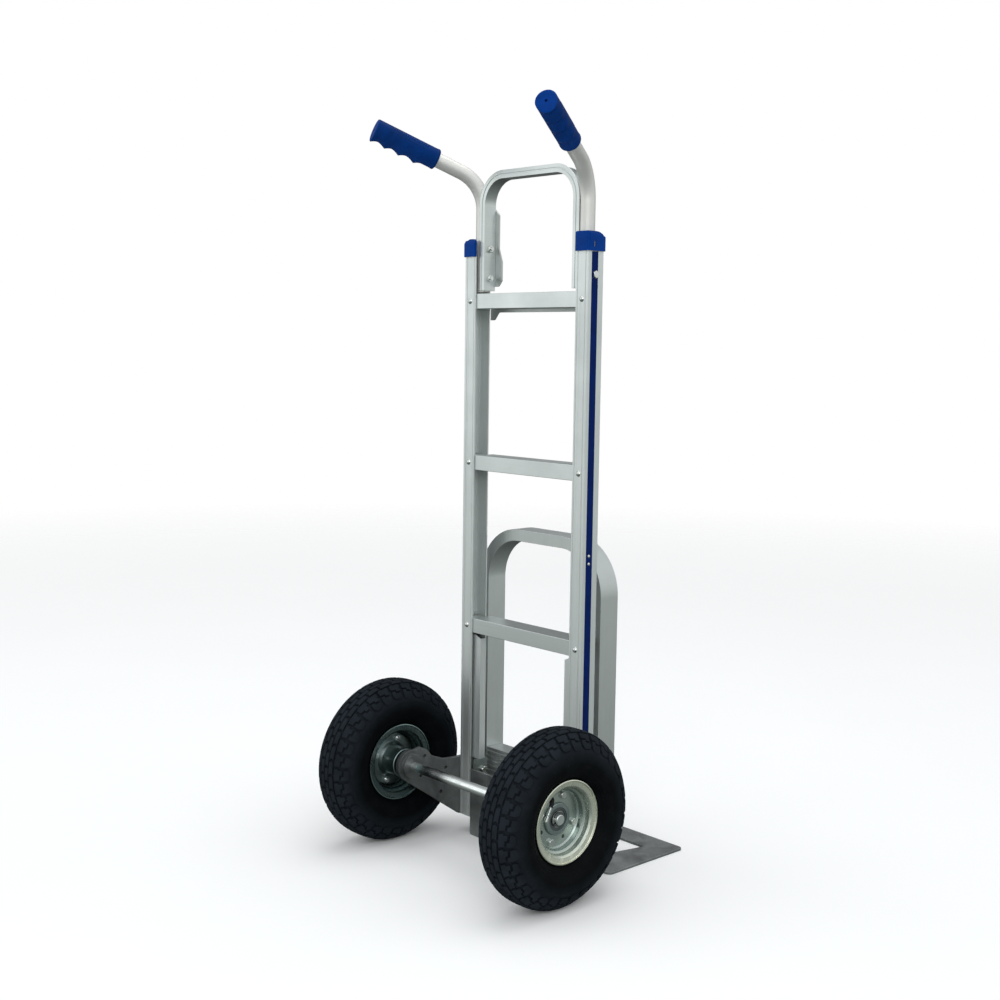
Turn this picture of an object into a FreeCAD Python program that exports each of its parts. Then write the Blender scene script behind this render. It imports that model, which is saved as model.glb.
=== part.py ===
import FreeCAD, Part
import math
import os
import re
import Sketcher

# Convertible two-wheel hand truck, millimetres, +Z up.
# X runs along the axle, -Y is the load side (nose), +Y is the operator's side.
# Left and right are the operator's: left is +X. Depths are laid out from the
# rails' rear face (Y = 0). The whole truck is then shifted along Y, so that the
# origin is on the floor under the middle of the truck's box.

os.makedirs("parts", exist_ok=True)
doc = FreeCAD.newDocument("hand_truck")

# ---------------------------------------------------------------- dimensions

DIMENSIONS = [
    # clearances
    ("hole_clear", 0.1), ("shank_clear", 0.05), ("face_clear", 0.1),
    # frame
    ("frame_half", 137.9), ("rail_wide", 25.3), ("rail_deep", 32.2), ("rail_foot", 30.0),
    ("rail_top", 976.0), ("flange_thick", 2.6), ("front_flange", 2.0), ("web_thick", 2.4),
    ("recess_deep", 2.3), ("recess_rear", 7.3), ("recess_front", 20.7), ("corner_round", 1.2),
    ("line_wide", 1.0), ("line_deep", 0.5), ("strip_gap", 0.1), ("strip_thick", 2.1),
    ("strip_top", 952.0),
    # crossbars
    ("bar_tall", 24.0), ("bar_deep", 38.5), ("bar_inset", 2.7), ("bar_wall", 2.2),
    ("bar_end", 130.0), ("bar_shoulder", 111.6), ("tongue_deep", 26.7), ("bar_round", 0.8),
    ("top_bar_up", 882.5), ("middle_bar_up", 623.0), ("lower_bar_up", 354.2),
    # round-head rivets
    ("rivet_radius", 2.4), ("rivet_head", 4.6), ("rivet_dome", 2.8), ("rivet_tail", 3.6),
    ("small_rivet", 1.5), ("small_rivet_head", 2.6), ("small_rivet_dome", 1.2),
    ("small_rivet_tail", 2.3), ("small_rivet_in", 14.0), ("small_rivet_low", 486.0),
    ("small_rivet_high", 498.0),
    # top loop
    ("loop_inner", 98.2), ("loop_thick", 13.0), ("loop_rear", 5.3), ("loop_deep", 23.7),
    ("loop_foot", 899.0), ("loop_crown", 1085.0), ("loop_round", 52.0), ("loop_web", 2.8),
    ("loop_flange", 1.8), ("loop_lip", 9.3), ("groove_wide", 1.6), ("groove_deep", 0.9),
    ("loop_bolt_in", 16.5), ("loop_bolt_low", 918.5), ("loop_bolt_high", 965.0),
    ("bolt_radius", 3.0), ("bolt_head", 5.2), ("bolt_head_tall", 4.0), ("bolt_clear", 1.2),
    ("bolt_nut_tall", 5.0), ("bolt_proud", 2.0),
    # handle tubes and grips
    ("tube_across", 116.1), ("tube_in", 18.3), ("tube_radius", 11.7), ("tube_wall", 1.8),
    ("tube_foot", 897.0), ("bend_up", 1069.3), ("bend_radius", 63.0), ("splay", 24.7),
    ("rise", 22.9), ("grip_start", 85.2), ("grip_length", 108.7), ("grip_radius", 16.2),
    ("grip_lip", 17.6), ("grip_wall_end", 5.0), ("grip_hole", 2.2), ("grip_lip_long", 5.0),
    ("grip_nose", 5.0), ("scallop_radius", 15.0), ("scallop_pitch", 21.5),
    ("scallop_first", 20.0), ("scallop_drop", 28.4),
    # rail caps
    ("cap_foot", 953.0), ("cap_top", 982.0), ("cap_inner", 111.4), ("cap_outer", 141.0),
    ("cap_rear", 3.0), ("cap_front", 35.2), ("cap_round", 12.0), ("cap_corner", 7.5),
    ("cap_edge", 2.5), ("slot_in", 13.0), ("slot_up", 963.0), ("slot_wide", 3.0),
    ("slot_tall", 9.0), ("slot_deep", 5.0), ("cap_skin", 1.2),
    # load-side plates
    ("plate_thick", 3.0), ("gusset_foot", 906.0), ("gusset_top", 1028.0),
    ("gusset_inner", 83.2), ("gusset_toe", 91.0), ("gusset_neck", 90.8),
    ("gusset_waist", 945.0), ("gusset_step", 21.0), ("gusset_chamfer", 9.0),
    ("gusset_round", 4.0), ("face_foot", 865.4), ("face_top", 888.0), ("face_drop", 12.4),
    ("face_half", 122.0), ("face_foot_in", 113.0), ("face_arch", 103.0), ("face_round", 6.0),
    # lower stiffeners
    ("stiff_inner", 97.4), ("stiff_outer", 132.9), ("stiff_rear", 6.5), ("stiff_front", 18.8),
    ("stiff_foot", 131.0), ("stiff_top", 333.0), ("stiff_slope", 6.0), ("stiff_wall", 2.0),
    # nose plate
    ("nose_reach", 218.0), ("nose_half", 167.0), ("nose_thick", 4.0), ("nose_corner", 8.0),
    ("wing_rear", 44.0), ("wing_corner", 10.0), ("nose_rear", 0.6), ("heel_thick", 5.0),
    ("heel_top", 112.0), ("heel_half", 112.4), ("heel_corner", 4.0), ("root_outer", 124.0),
    ("root_rear", 12.0),
    ("nose_bar", 44.0), ("window_front_half", 121.5), ("window_rear_half", 98.0),
    ("window_rear", 74.0), ("window_rib", 11.0), ("tongue_inner", 108.0),
    ("tongue_outer", 132.8), ("tongue_rear", 5.0), ("tongue_front", 28.0), ("tongue_top", 64.0),
    # folding nose extension
    ("pivot_in", 63.0), ("pivot_up", 23.5), ("pin_radius", 5.0), ("pin_clear", 0.06),
    ("arch_half", 138.0), ("arch_thick", 19.0), ("arch_rear", 42.0), ("arch_deep", 38.0),
    ("arch_crown", 517.0), ("arch_round", 88.0), ("arch_wall", 2.4), ("foot_round", 16.8),
    ("lug_inner", 112.2), ("lug_outer", 118.4), ("lug_half", 12.0), ("slat_half", 111.5),
    ("slat_top", 141.0), ("slat_rear", 44.5), ("slat_front", 76.0), ("slat_wall", 3.0),
    ("slat_round", 16.0), ("slat_solid", 14.0), ("rib_proud", 2.5), ("rib_tall", 3.2),
    ("rib_pitch", 8.0), ("rib_first", 60.0), ("arch_end", 118.6), ("pin_head", 8.0),
    ("pin_head_tall", 2.6), ("pin_inward", 14.0),
    # axle and brackets
    ("axle_back", 104.9), ("axle_radius", 8.0), ("axle_end", 207.0), ("track_half", 193.4),
    ("bracket_thick", 8.0), ("bracket_bore", 8.06), ("bracket_round", 25.5),
    ("bracket_front", 31.0), ("bracket_top", 128.0), ("bracket_lean", 34.6),
    ("bracket_soft", 6.0), ("boss_radius", 19.5), ("boss_inner", 131.5), ("boss_outer", 150.0),
    ("small_hole", 3.0), ("clamp_bolt_radius", 4.0), ("upper_clamp_in", 26.3),
    ("upper_clamp_up", 106.5), ("lower_clamp_in", 14.0), ("lower_clamp_up", 46.0),
    ("clamp_head", 6.6), ("clamp_head_tall", 5.3), ("clamp_nut_tall", 6.2),
    ("clamp_proud", 1.5), ("backing_inner", 109.3), ("backing_thick", 3.0),
    ("backing_rear", 5.8), ("backing_front", 36.0), ("backing_foot", 75.0),
    ("backing_top", 128.0), ("slit_in", 12.5), ("slit_wide", 3.0), ("slit_up", 87.0),
    ("slit_tall", 12.0), ("washer_radius", 13.0), ("washer_thick", 1.5), ("clip_thick", 1.3),
    ("clip_bite", 1.0), ("clip_proud", 3.2), ("clip_gap", 9.0),
    # wheels, along X from the wheel's middle plane unless said otherwise
    ("tyre_radius", 132.5), ("tyre_half", 40.0), ("tread_thick", 9.5),
    ("shoulder_radius", 118.5), ("shoulder_half", 31.5), ("flank_radius", 92.0),
    ("tube_ring_radius", 89.0), ("tube_section", 27.0), ("tube_skin", 2.2), ("tube_hole", 2.2),
    ("rim_thick", 2.2), ("disc_out", 2.0), ("disc_bore", 24.2), ("disc_edge", 42.0),
    ("hub_radius", 24.0), ("hub_bore", 17.52), ("hub_inboard", 39.6), ("hub_outboard", 8.2),
    ("hub_flange", 42.0), ("hub_flange_thick", 3.0), ("bearing_radius", 17.5),
    ("bearing_bore", 8.05), ("bearing_wide", 11.0), ("bearing_inset", 1.0), ("race_thick", 2.7),
    ("seal_sunk", 0.8), ("hub_waist", 12.0), ("rim_bolt_circle", 35.0),
    ("rim_bolt_radius", 3.0), ("rim_bolt_turn", 19.0), ("rim_bolt_head", 5.0),
    ("rim_bolt_tall", 4.3), ("rim_hole_circle", 33.0), ("rim_hole_radius", 2.8),
    # valve, from the axle
    ("valve_back", 13.5), ("valve_up", 33.0), ("valve_foot", 5.8), ("valve_tall", 10.8),
    ("valve_stem_out", 8.5), ("valve_stem", 5.5), ("valve_end_back", 25.5),
    ("valve_end_up", -1.0),
]

sheet = doc.addObject("Spreadsheet::Sheet", "Dims")
for row, (alias, number) in enumerate(DIMENSIONS, start=1):
    sheet.set("A%d" % row, alias)
    sheet.set("B%d" % row, "%g" % number)
    sheet.setAlias("B%d" % row, alias)
doc.recompute()

FUNCTIONS = {"sin", "cos", "tan", "sqrt"}
SHIFT = "(nose_reach - axle_back - tyre_radius) / 2"
PIECES = []


def cells(formula):
    """Make a formula in alias names read the sheet's cells."""
    def word(match):
        name = match.group(0)
        return name if name in FUNCTIONS else "Dims." + name
    return re.sub(r"[a-z][a-z_]*", word, formula)


def value(formula):
    """Work out a formula in alias names; angles are in degrees."""
    result = sheet.evalExpression(formula)
    return float(getattr(result, "Value", result))


# ---------------------------------------------------------- modelling helpers

def new_body(label):
    """Start a sub-part, shifted with the whole truck."""
    body = doc.addObject("PartDesign::Body", label)
    body.Label = label
    body.setExpression("Placement.Base.y", cells(SHIFT))
    PIECES.append(body)
    return body


def new_sketch(body, role, offset="0"):
    """Put a sketch on one of the body's own planes, moved along its normal."""
    plane = [item for item in body.Origin.OriginFeatures if item.Role == role][0]
    sketch = body.newObject("Sketcher::SketchObject", body.Label + "_sketch")
    sketch.AttachmentSupport = [(plane, "")]
    sketch.MapMode = "FlatFace"
    if offset != "0":
        sketch.setExpression("AttachmentOffset.Base.z", cells(offset))
    return sketch


def bind(sketch, kind, place, formula):
    """Give a sketch dimension its number from the sheet."""
    number = value(formula)
    if kind == "Radius":
        index = sketch.addConstraint(Sketcher.Constraint(kind, place[0], number))
    else:
        index = sketch.addConstraint(Sketcher.Constraint(kind, -1, 1, place[0], place[1], number))
    sketch.setExpression("Constraints[%d]" % index, cells(formula))


def outline(sketch, corners):
    """Add a closed outline. A corner is (u, v); (u, v, "arc") is a point that an
    arc passes through on its way from the corner before to the corner after."""
    points = [FreeCAD.Vector(value(item[0]), value(item[1]), 0) for item in corners]
    count = len(corners)
    runs = []
    for i in range(count):
        if len(corners[i]) == 3:
            continue
        after = (i + 1) % count
        if len(corners[after]) == 3:
            last = (i + 2) % count
            geometry = Part.Arc(points[i], points[after], points[last])
        else:
            last = after
            geometry = Part.LineSegment(points[i], points[last])
        index = sketch.addGeometry(geometry)
        ahead = sketch.getPoint(index, 1).distanceToPoint(points[i]) < 1e-6
        runs.append((index, 1 if ahead else 2, 2 if ahead else 1, i))
    for run, following in zip(runs, runs[1:] + runs[:1]):
        sketch.addConstraint(Sketcher.Constraint(
            "Coincident", run[0], run[2], following[0], following[1]))
    for index, start, _, i in runs:
        bind(sketch, "DistanceX", (index, start), corners[i][0])
        bind(sketch, "DistanceY", (index, start), corners[i][1])
    return sketch


def rectangle(sketch, low_u, low_v, high_u, high_v):
    """Add a rectangle from its low and high corners."""
    return outline(sketch, [(low_u, low_v), (high_u, low_v), (high_u, high_v), (low_u, high_v)])


def flipped(corners):
    """The same corners seen in a mirror on u = 0, in the opposite order."""
    return [("-(%s)" % corner[0],) + corner[1:] for corner in reversed(corners)]


def circle(sketch, u, v, radius):
    """Add a circle."""
    centre = FreeCAD.Vector(value(u), value(v), 0)
    ring = Part.Circle(centre, FreeCAD.Vector(0, 0, 1), value(radius))
    index = sketch.addGeometry(ring)
    bind(sketch, "DistanceX", (index, 3), u)
    bind(sketch, "DistanceY", (index, 3), v)
    bind(sketch, "Radius", (index,), radius)
    return sketch


def pad(body, sketch, length, both=False):
    """Extrude a sketch along its normal, or half each way."""
    feature = body.newObject("PartDesign::Pad", body.Label + "_pad")
    feature.Profile = sketch
    feature.Midplane = both
    feature.setExpression("Length", cells(length))
    doc.recompute()
    return feature


def cut(body, sketch, length=None, forward=False):
    """Pocket a sketch both ways through everything, or by a length to one side."""
    before = body.Shape.Volume
    feature = body.newObject("PartDesign::Pocket", body.Label + "_cut")
    feature.Profile = sketch
    if length is None:
        feature.Type = "ThroughAll"
        feature.Midplane = True
    else:
        feature.setExpression("Length", cells(length))
        feature.Reversed = forward
    doc.recompute()
    if not body.Shape.Volume < before - 1e-3:
        raise RuntimeError("a cut in %s removes nothing" % body.Label)
    return feature


def turn(body, sketch):
    """Revolve a sketch about the X axis."""
    feature = body.newObject("PartDesign::Revolution", body.Label + "_turn")
    feature.Profile = sketch
    feature.ReferenceAxis = (sketch, ["H_Axis"])
    feature.Angle = 360
    doc.recompute()
    return feature


def sweep(body, profile, path):
    """Sweep a profile sketch along a path sketch."""
    feature = body.newObject("PartDesign::AdditivePipe", body.Label + "_sweep")
    feature.Profile = profile
    feature.Spine = path
    doc.recompute()
    return feature


def round_edges(body, radius, chosen):
    """Fillet the edges of the last feature that the test picks."""
    base = body.Tip
    names = ["Edge%d" % (i + 1) for i, edge in enumerate(base.Shape.Edges) if chosen(edge)]
    if not names:
        raise RuntimeError("no edge to round in %s" % body.Label)
    feature = body.newObject("PartDesign::Fillet", body.Label + "_round")
    feature.Base = (base, names)
    feature.setExpression("Radius", cells(radius))
    doc.recompute()
    return feature


def at_corners(axis, corners):
    """Pick the straight edges along an axis (0, 1, 2) that pass the given corners."""
    others = [i for i in range(3) if i != axis]
    spots = [(value(u), value(v)) for u, v in corners]

    def chosen(edge):
        if edge.Curve.TypeId != "Part::GeomLine":
            return False
        first, last = edge.Vertexes[0].Point, edge.Vertexes[-1].Point
        for u, v in spots:
            near = all(abs(end[others[0]] - u) + abs(end[others[1]] - v) < 0.02
                       for end in (first, last))
            if near:
                return True
        return False
    return chosen


def tangent_path(sketch, runs):
    """Join lines and arcs end to end, each tangent to the one before."""
    indexes = [sketch.addGeometry(run) for run in runs]
    ends = []
    for index, run in zip(indexes, runs):
        ahead = sketch.getPoint(index, 1).distanceToPoint(run.StartPoint) < 1e-6
        ends.append((1, 2) if ahead else (2, 1))
    for i in range(len(runs) - 1):
        sketch.addConstraint(Sketcher.Constraint(
            "Tangent", indexes[i], ends[i][1], indexes[i + 1], ends[i + 1][0]))
    return indexes, ends


def arch_path(body, half, foot, crown, radius):
    """An upside-down U in the XZ plane, from the right foot over to the left."""
    sketch = new_sketch(body, "XZ_Plane")
    w, low, top, r = value(half), value(foot), value(crown), value(radius)
    diagonal = r * math.sqrt(0.5)

    def point(x, z):
        return FreeCAD.Vector(x, z, 0)
    runs = [
        Part.LineSegment(point(-w, low), point(-w, top - r)),
        Part.Arc(point(-w, top - r), point(-w + r - diagonal, top - r + diagonal),
                 point(-w + r, top)),
        Part.LineSegment(point(-w + r, top), point(w - r, top)),
        Part.Arc(point(w - r, top), point(w - r + diagonal, top - r + diagonal),
                 point(w, top - r)),
        Part.LineSegment(point(w, top - r), point(w, low)),
    ]
    indexes, ends = tangent_path(sketch, runs)
    for leg in (indexes[0], indexes[4]):
        sketch.addConstraint(Sketcher.Constraint("Vertical", leg))
    sketch.addConstraint(Sketcher.Constraint("Horizontal", indexes[2]))
    bind(sketch, "DistanceX", (indexes[0], 1), "-(%s)" % half)
    bind(sketch, "DistanceY", (indexes[0], 1), foot)
    bind(sketch, "DistanceX", (indexes[4], 2), half)
    bind(sketch, "DistanceY", (indexes[4], 2), foot)
    bind(sketch, "DistanceY", (indexes[2], 1), crown)
    bind(sketch, "Radius", (indexes[1],), radius)
    bind(sketch, "Radius", (indexes[3],), radius)
    return sketch


def mirrored(source, label):
    """The right-hand twin of a left-hand piece."""
    twin = doc.addObject("Part::Mirroring", label)
    twin.Label = label
    twin.Source = source
    twin.Normal = (1, 0, 0)
    twin.Base = (0, 0, 0)
    PIECES.append(twin)
    return twin


def group(label, shapes):
    """A node of repeated fasteners: separate solids, placed from the sheet."""
    feature = doc.addObject("Part::Feature", label)
    feature.Label = label
    feature.Shape = Part.makeCompound(shapes)
    feature.Placement = FreeCAD.Placement(
        FreeCAD.Vector(0, value(SHIFT), 0), FreeCAD.Rotation())
    PIECES.append(feature)
    return feature


def put(shape, x, y, z, direction):
    """Copy a fastener modelled along +Z to a place, pointing along a direction."""
    copy = shape.copy()
    turn_to = FreeCAD.Rotation(FreeCAD.Vector(0, 0, 1), FreeCAD.Vector(*direction))
    copy.Placement = FreeCAD.Placement(FreeCAD.Vector(x, y, z), turn_to)
    return copy


def turned(points):
    """A solid turned about Z from its half outline of (radius, height) points."""
    corners = [FreeCAD.Vector(r, 0, z) for r, z in points]
    face = Part.Face(Part.makePolygon(corners + corners[:1]))
    return face.revolve(FreeCAD.Vector(0, 0, 0), FreeCAD.Vector(0, 0, 1), 360)


def rivet(shank, head, dome, grip, tail):
    """A round-head rivet: its head stands on Z = 0, its shank goes down."""
    steps = 5
    ball = (head * head + dome * dome) / (2 * dome)
    arc = [(ball * math.sin(a), ball * math.cos(a) - ball + dome)
           for a in [math.asin(head / ball) * i / steps for i in range(steps + 1)]]
    return turned(arc + [(shank, 0), (shank, -grip), (tail, -grip), (tail * 0.7, -grip - 1.6),
                         (0, -grip - 1.6)])


def hexagon(apothem, tall):
    """A hexagonal prism on Z = 0, chamfered at its top corners."""
    corner = apothem / math.cos(math.pi / 6)
    ring = [FreeCAD.Vector(corner * math.cos(math.pi / 3 * i),
                           corner * math.sin(math.pi / 3 * i), 0) for i in range(7)]
    prism = Part.Face(Part.makePolygon(ring)).extrude(FreeCAD.Vector(0, 0, tall))
    chamfer = turned([(0, 0), (corner + 0.1, 0), (corner + 0.1, tall * 0.72),
                      (apothem * 0.93, tall), (0, tall)])
    return prism.common(chamfer)


def hex_bolt(shank, apothem, tall, grip):
    """A bolt: its hexagonal head stands on Z = 0, its shank goes down."""
    return hexagon(apothem, tall).fuse(
        Part.makeCylinder(shank, grip, FreeCAD.Vector(0, 0, -grip))).removeSplitter()


def hex_nut(bore, apothem, tall):
    """A nut on Z = 0."""
    return hexagon(apothem, tall).cut(Part.makeCylinder(bore, tall))


# --------------------------------------------------------------------- frame

RAIL_INNER = "frame_half - rail_wide"
RIVET_ACROSS = "frame_half - rail_wide / 2"
BAR_HEIGHTS = ("top_bar_up", "middle_bar_up", "lower_bar_up")


def make_rail():
    """A C-channel, open inward, with a recess for the strip in its outer face."""
    body = new_body("rail_left")
    web = "frame_half - web_thick"
    floor = "frame_half - recess_deep"
    boss = "frame_half - recess_deep - web_thick"
    front = "-rail_deep"
    corners = [(RAIL_INNER, "0")]
    for line in (RAIL_INNER + " + 3", "frame_half - 6"):
        corners += [(line, "0"), (line, "-line_deep"),
                    (line + " + line_wide", "-line_deep"), (line + " + line_wide", "0")]
    corners += [
        ("frame_half", "0"),
        ("frame_half", "-recess_rear"), (floor, "-recess_rear"),
        (floor, "-recess_front"), ("frame_half", "-recess_front"),
        ("frame_half", front), (RAIL_INNER, front),
        (RAIL_INNER, "front_flange - rail_deep"), (web, "front_flange - rail_deep"),
        (web, "-recess_front - web_thick"), (boss, "-recess_front - web_thick"),
        (boss, "web_thick - recess_rear"), (web, "web_thick - recess_rear"),
        (web, "-flange_thick"), (RAIL_INNER, "-flange_thick"),
    ]
    profile = outline(new_sketch(body, "XY_Plane", "rail_foot"), corners)
    pad(body, profile, "rail_top - rail_foot")
    round_edges(body, "corner_round",
                at_corners(2, [("frame_half", "0"), ("frame_half", front)]))
    rivets = new_sketch(body, "XZ_Plane")
    for up in BAR_HEIGHTS:
        circle(rivets, RIVET_ACROSS, up, "rivet_radius + shank_clear")
    cut(body, rivets)
    side = new_sketch(body, "YZ_Plane")
    for up in ("loop_bolt_low", "loop_bolt_high"):
        circle(side, "-loop_bolt_in", up, "bolt_radius + hole_clear")
    for up in ("small_rivet_low", "small_rivet_high"):
        circle(side, "-small_rivet_in", up, "small_rivet + shank_clear")
    circle(side, "-upper_clamp_in", "upper_clamp_up", "clamp_bolt_radius + hole_clear")
    circle(side, "-lower_clamp_in", "lower_clamp_up", "clamp_bolt_radius + hole_clear")
    cut(body, side)
    seats = new_sketch(body, "YZ_Plane", "frame_half + 1")
    for up in ("loop_bolt_low", "loop_bolt_high"):
        circle(seats, "-loop_bolt_in", up, "bolt_head + bolt_clear")
    cut(body, seats, "recess_deep + 1")
    return body


def make_strip():
    """The coloured strip that lies in the rail's outer recess."""
    body = new_body("side_strip_left")
    low = "frame_half - recess_deep + strip_gap"
    section = rectangle(new_sketch(body, "XY_Plane", "rail_foot"),
                        low, "strip_gap - recess_front",
                        low + " + strip_thick", "-recess_rear - strip_gap")
    pad(body, section, "strip_top - rail_foot")
    holes = new_sketch(body, "YZ_Plane")
    circle(holes, "-loop_bolt_in", "loop_bolt_low", "bolt_head + bolt_clear")
    for up in ("small_rivet_low", "small_rivet_high"):
        circle(holes, "-small_rivet_in", up, "small_rivet + shank_clear")
    circle(holes, "-lower_clamp_in", "lower_clamp_up", "clamp_bolt_radius + hole_clear")
    cut(body, holes)
    return body


def make_cap():
    """The moulded cap on the rail's top, with the handle tube through it."""
    body = new_body("rail_cap_left")
    block = rectangle(new_sketch(body, "XY_Plane", "cap_foot"),
                      "cap_inner", "-cap_front", "cap_outer", "cap_rear")
    pad(body, block, "cap_top - cap_foot")
    round_edges(body, "cap_round", at_corners(0, [("-cap_front", "cap_top")]))
    round_edges(body, "cap_corner", at_corners(2, [("cap_outer", "cap_rear")]))
    round_edges(body, "cap_edge", at_corners(1, [("cap_outer", "cap_top")]))
    cavity = rectangle(new_sketch(body, "XY_Plane", "cap_foot"),
                       "cap_inner - 1", "-rail_deep - face_clear",
                       "frame_half + face_clear", "face_clear")
    cut(body, cavity, "rail_top - cap_foot + 2 * face_clear", forward=True)
    bore = circle(new_sketch(body, "XY_Plane"),
                  "tube_across", "-tube_in", "tube_radius + hole_clear")
    cut(body, bore)
    slot = rectangle(new_sketch(body, "YZ_Plane", "cap_outer + 1"),
                     "-slot_in - slot_wide / 2", "slot_up - slot_tall / 2",
                     "slot_wide / 2 - slot_in", "slot_up + slot_tall / 2")
    cut(body, slot, "slot_deep")
    pocket = circle(new_sketch(body, "YZ_Plane", "cap_outer - cap_skin"),
                    "-loop_bolt_in", "loop_bolt_high", "bolt_head + bolt_clear")
    cut(body, pocket, "2 * cap_skin")
    return body


def make_crossbar(label, up):
    """A box extrusion whose notched ends go into the rails' channels."""
    body = new_body(label)
    low, high = up + " - bar_tall / 2", up + " + bar_tall / 2"
    rear, front = "-bar_inset", "-bar_inset - bar_deep"
    section = new_sketch(body, "YZ_Plane")
    rectangle(section, front, low, rear, high)
    rectangle(section, front + " + bar_wall", low + " + bar_wall",
              rear + " - bar_wall", high + " - bar_wall")
    pad(body, section, "2 * bar_end", both=True)
    round_edges(body, "bar_round", at_corners(0, [(rear, low), (rear, high),
                                                  (front, low), (front, high)]))
    notches = new_sketch(body, "XY_Plane")
    shoulder = "-bar_inset - tongue_deep"
    rectangle(notches, "bar_shoulder", "-bar_inset - bar_deep - 1", "bar_end + 1", shoulder)
    rectangle(notches, "-bar_end - 1", "-bar_inset - bar_deep - 1", "-bar_shoulder", shoulder)
    cut(body, notches)
    rivets = new_sketch(body, "XZ_Plane")
    circle(rivets, RIVET_ACROSS, up, "rivet_radius + shank_clear")
    circle(rivets, "-(%s)" % RIVET_ACROSS, up, "rivet_radius + shank_clear")
    cut(body, rivets)
    return body


def make_crossbar_rivets():
    """Two rivets per crossbar end, through the rail's rear flange."""
    shape = rivet(value("rivet_radius"), value("rivet_head"), value("rivet_dome"),
                  value("flange_thick + bar_wall + face_clear"), value("rivet_tail"))
    across = value(RIVET_ACROSS)
    places = [(side * across, up) for up in BAR_HEIGHTS for side in (-1, 1)]
    group("crossbar_rivets", [put(shape, x, 0, value(up), (0, 1, 0)) for x, up in places])


def make_top_loop():
    """The bent channel between the handles: open outward around the tubes, and
    grooved along its rear face."""
    body = new_body("top_loop")
    middle = "loop_inner + loop_thick / 2"
    path = arch_path(body, middle, "loop_foot", "loop_crown - loop_thick / 2",
                     "loop_round - loop_thick / 2")
    section = new_sketch(body, "XY_Plane", "loop_foot")
    outer, inner = "-loop_inner - loop_thick", "-loop_inner"
    lip, web = "-loop_inner - loop_lip", "-loop_inner - loop_web"
    rear, front = "-loop_rear", "-loop_rear - loop_deep"
    groove_low = "-(%s) - groove_wide / 2" % middle
    groove_high = "groove_wide / 2 - (%s)" % middle
    outline(section, [(lip, front), (inner, front), (inner, rear), (groove_high, rear),
                      (groove_high, rear + " - groove_deep"), (groove_low, rear + " - groove_deep"),
                      (groove_low, rear), (outer, rear), (outer, rear + " - loop_flange"),
                      (web, rear + " - loop_flange"), (web, front + " + loop_flange"),
                      (lip, front + " + loop_flange")])
    sweep(body, section, path)
    holes = new_sketch(body, "YZ_Plane")
    for up in ("loop_bolt_low", "loop_bolt_high"):
        circle(holes, "-loop_bolt_in", up, "bolt_radius + hole_clear")
    cut(body, holes)
    return body


def make_loop_gusset():
    """The shaped plate on the load side of a loop leg."""
    body = new_body("loop_gusset_left")
    sketch = new_sketch(body, "XZ_Plane", "loop_rear + loop_deep + face_clear")
    edge = "loop_inner + loop_thick"
    toe, cheek = ("gusset_toe", "gusset_foot"), ("gusset_inner", "gusset_foot + gusset_chamfer")
    shoulder = ("gusset_neck", "gusset_top - gusset_chamfer")
    outline(sketch, [(edge, "gusset_foot"), toe, cheek, ("gusset_inner", "gusset_waist"),
                     ("gusset_neck", "gusset_waist + gusset_step"), shoulder,
                     ("gusset_neck + gusset_chamfer", "gusset_top"), (edge, "gusset_top")])
    pad(body, sketch, "plate_thick")
    round_edges(body, "gusset_round", at_corners(1, [toe, cheek, shoulder]))
    return body


def make_face_plate():
    """The plate in front of the top crossbar, with a foot at each end."""
    body = new_body("top_face_plate")
    sketch = new_sketch(body, "XZ_Plane", "bar_inset + bar_deep + 2 * face_clear")
    low = "face_foot - face_drop"
    outline(sketch, [("-face_half", low), ("-face_foot_in", low), ("-face_arch", "face_foot"),
                     ("face_arch", "face_foot"), ("face_foot_in", low), ("face_half", low),
                     ("face_half", "face_top"), ("-face_half", "face_top")])
    pad(body, sketch, "plate_thick")
    round_edges(body, "face_round", at_corners(1, [
        ("-face_foot_in", low), ("-face_arch", "face_foot"),
        ("face_arch", "face_foot"), ("face_foot_in", low)]))
    return body


TUBE_RUN = "(grip_start + grip_length - grip_wall_end - 5 * face_clear)"


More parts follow.
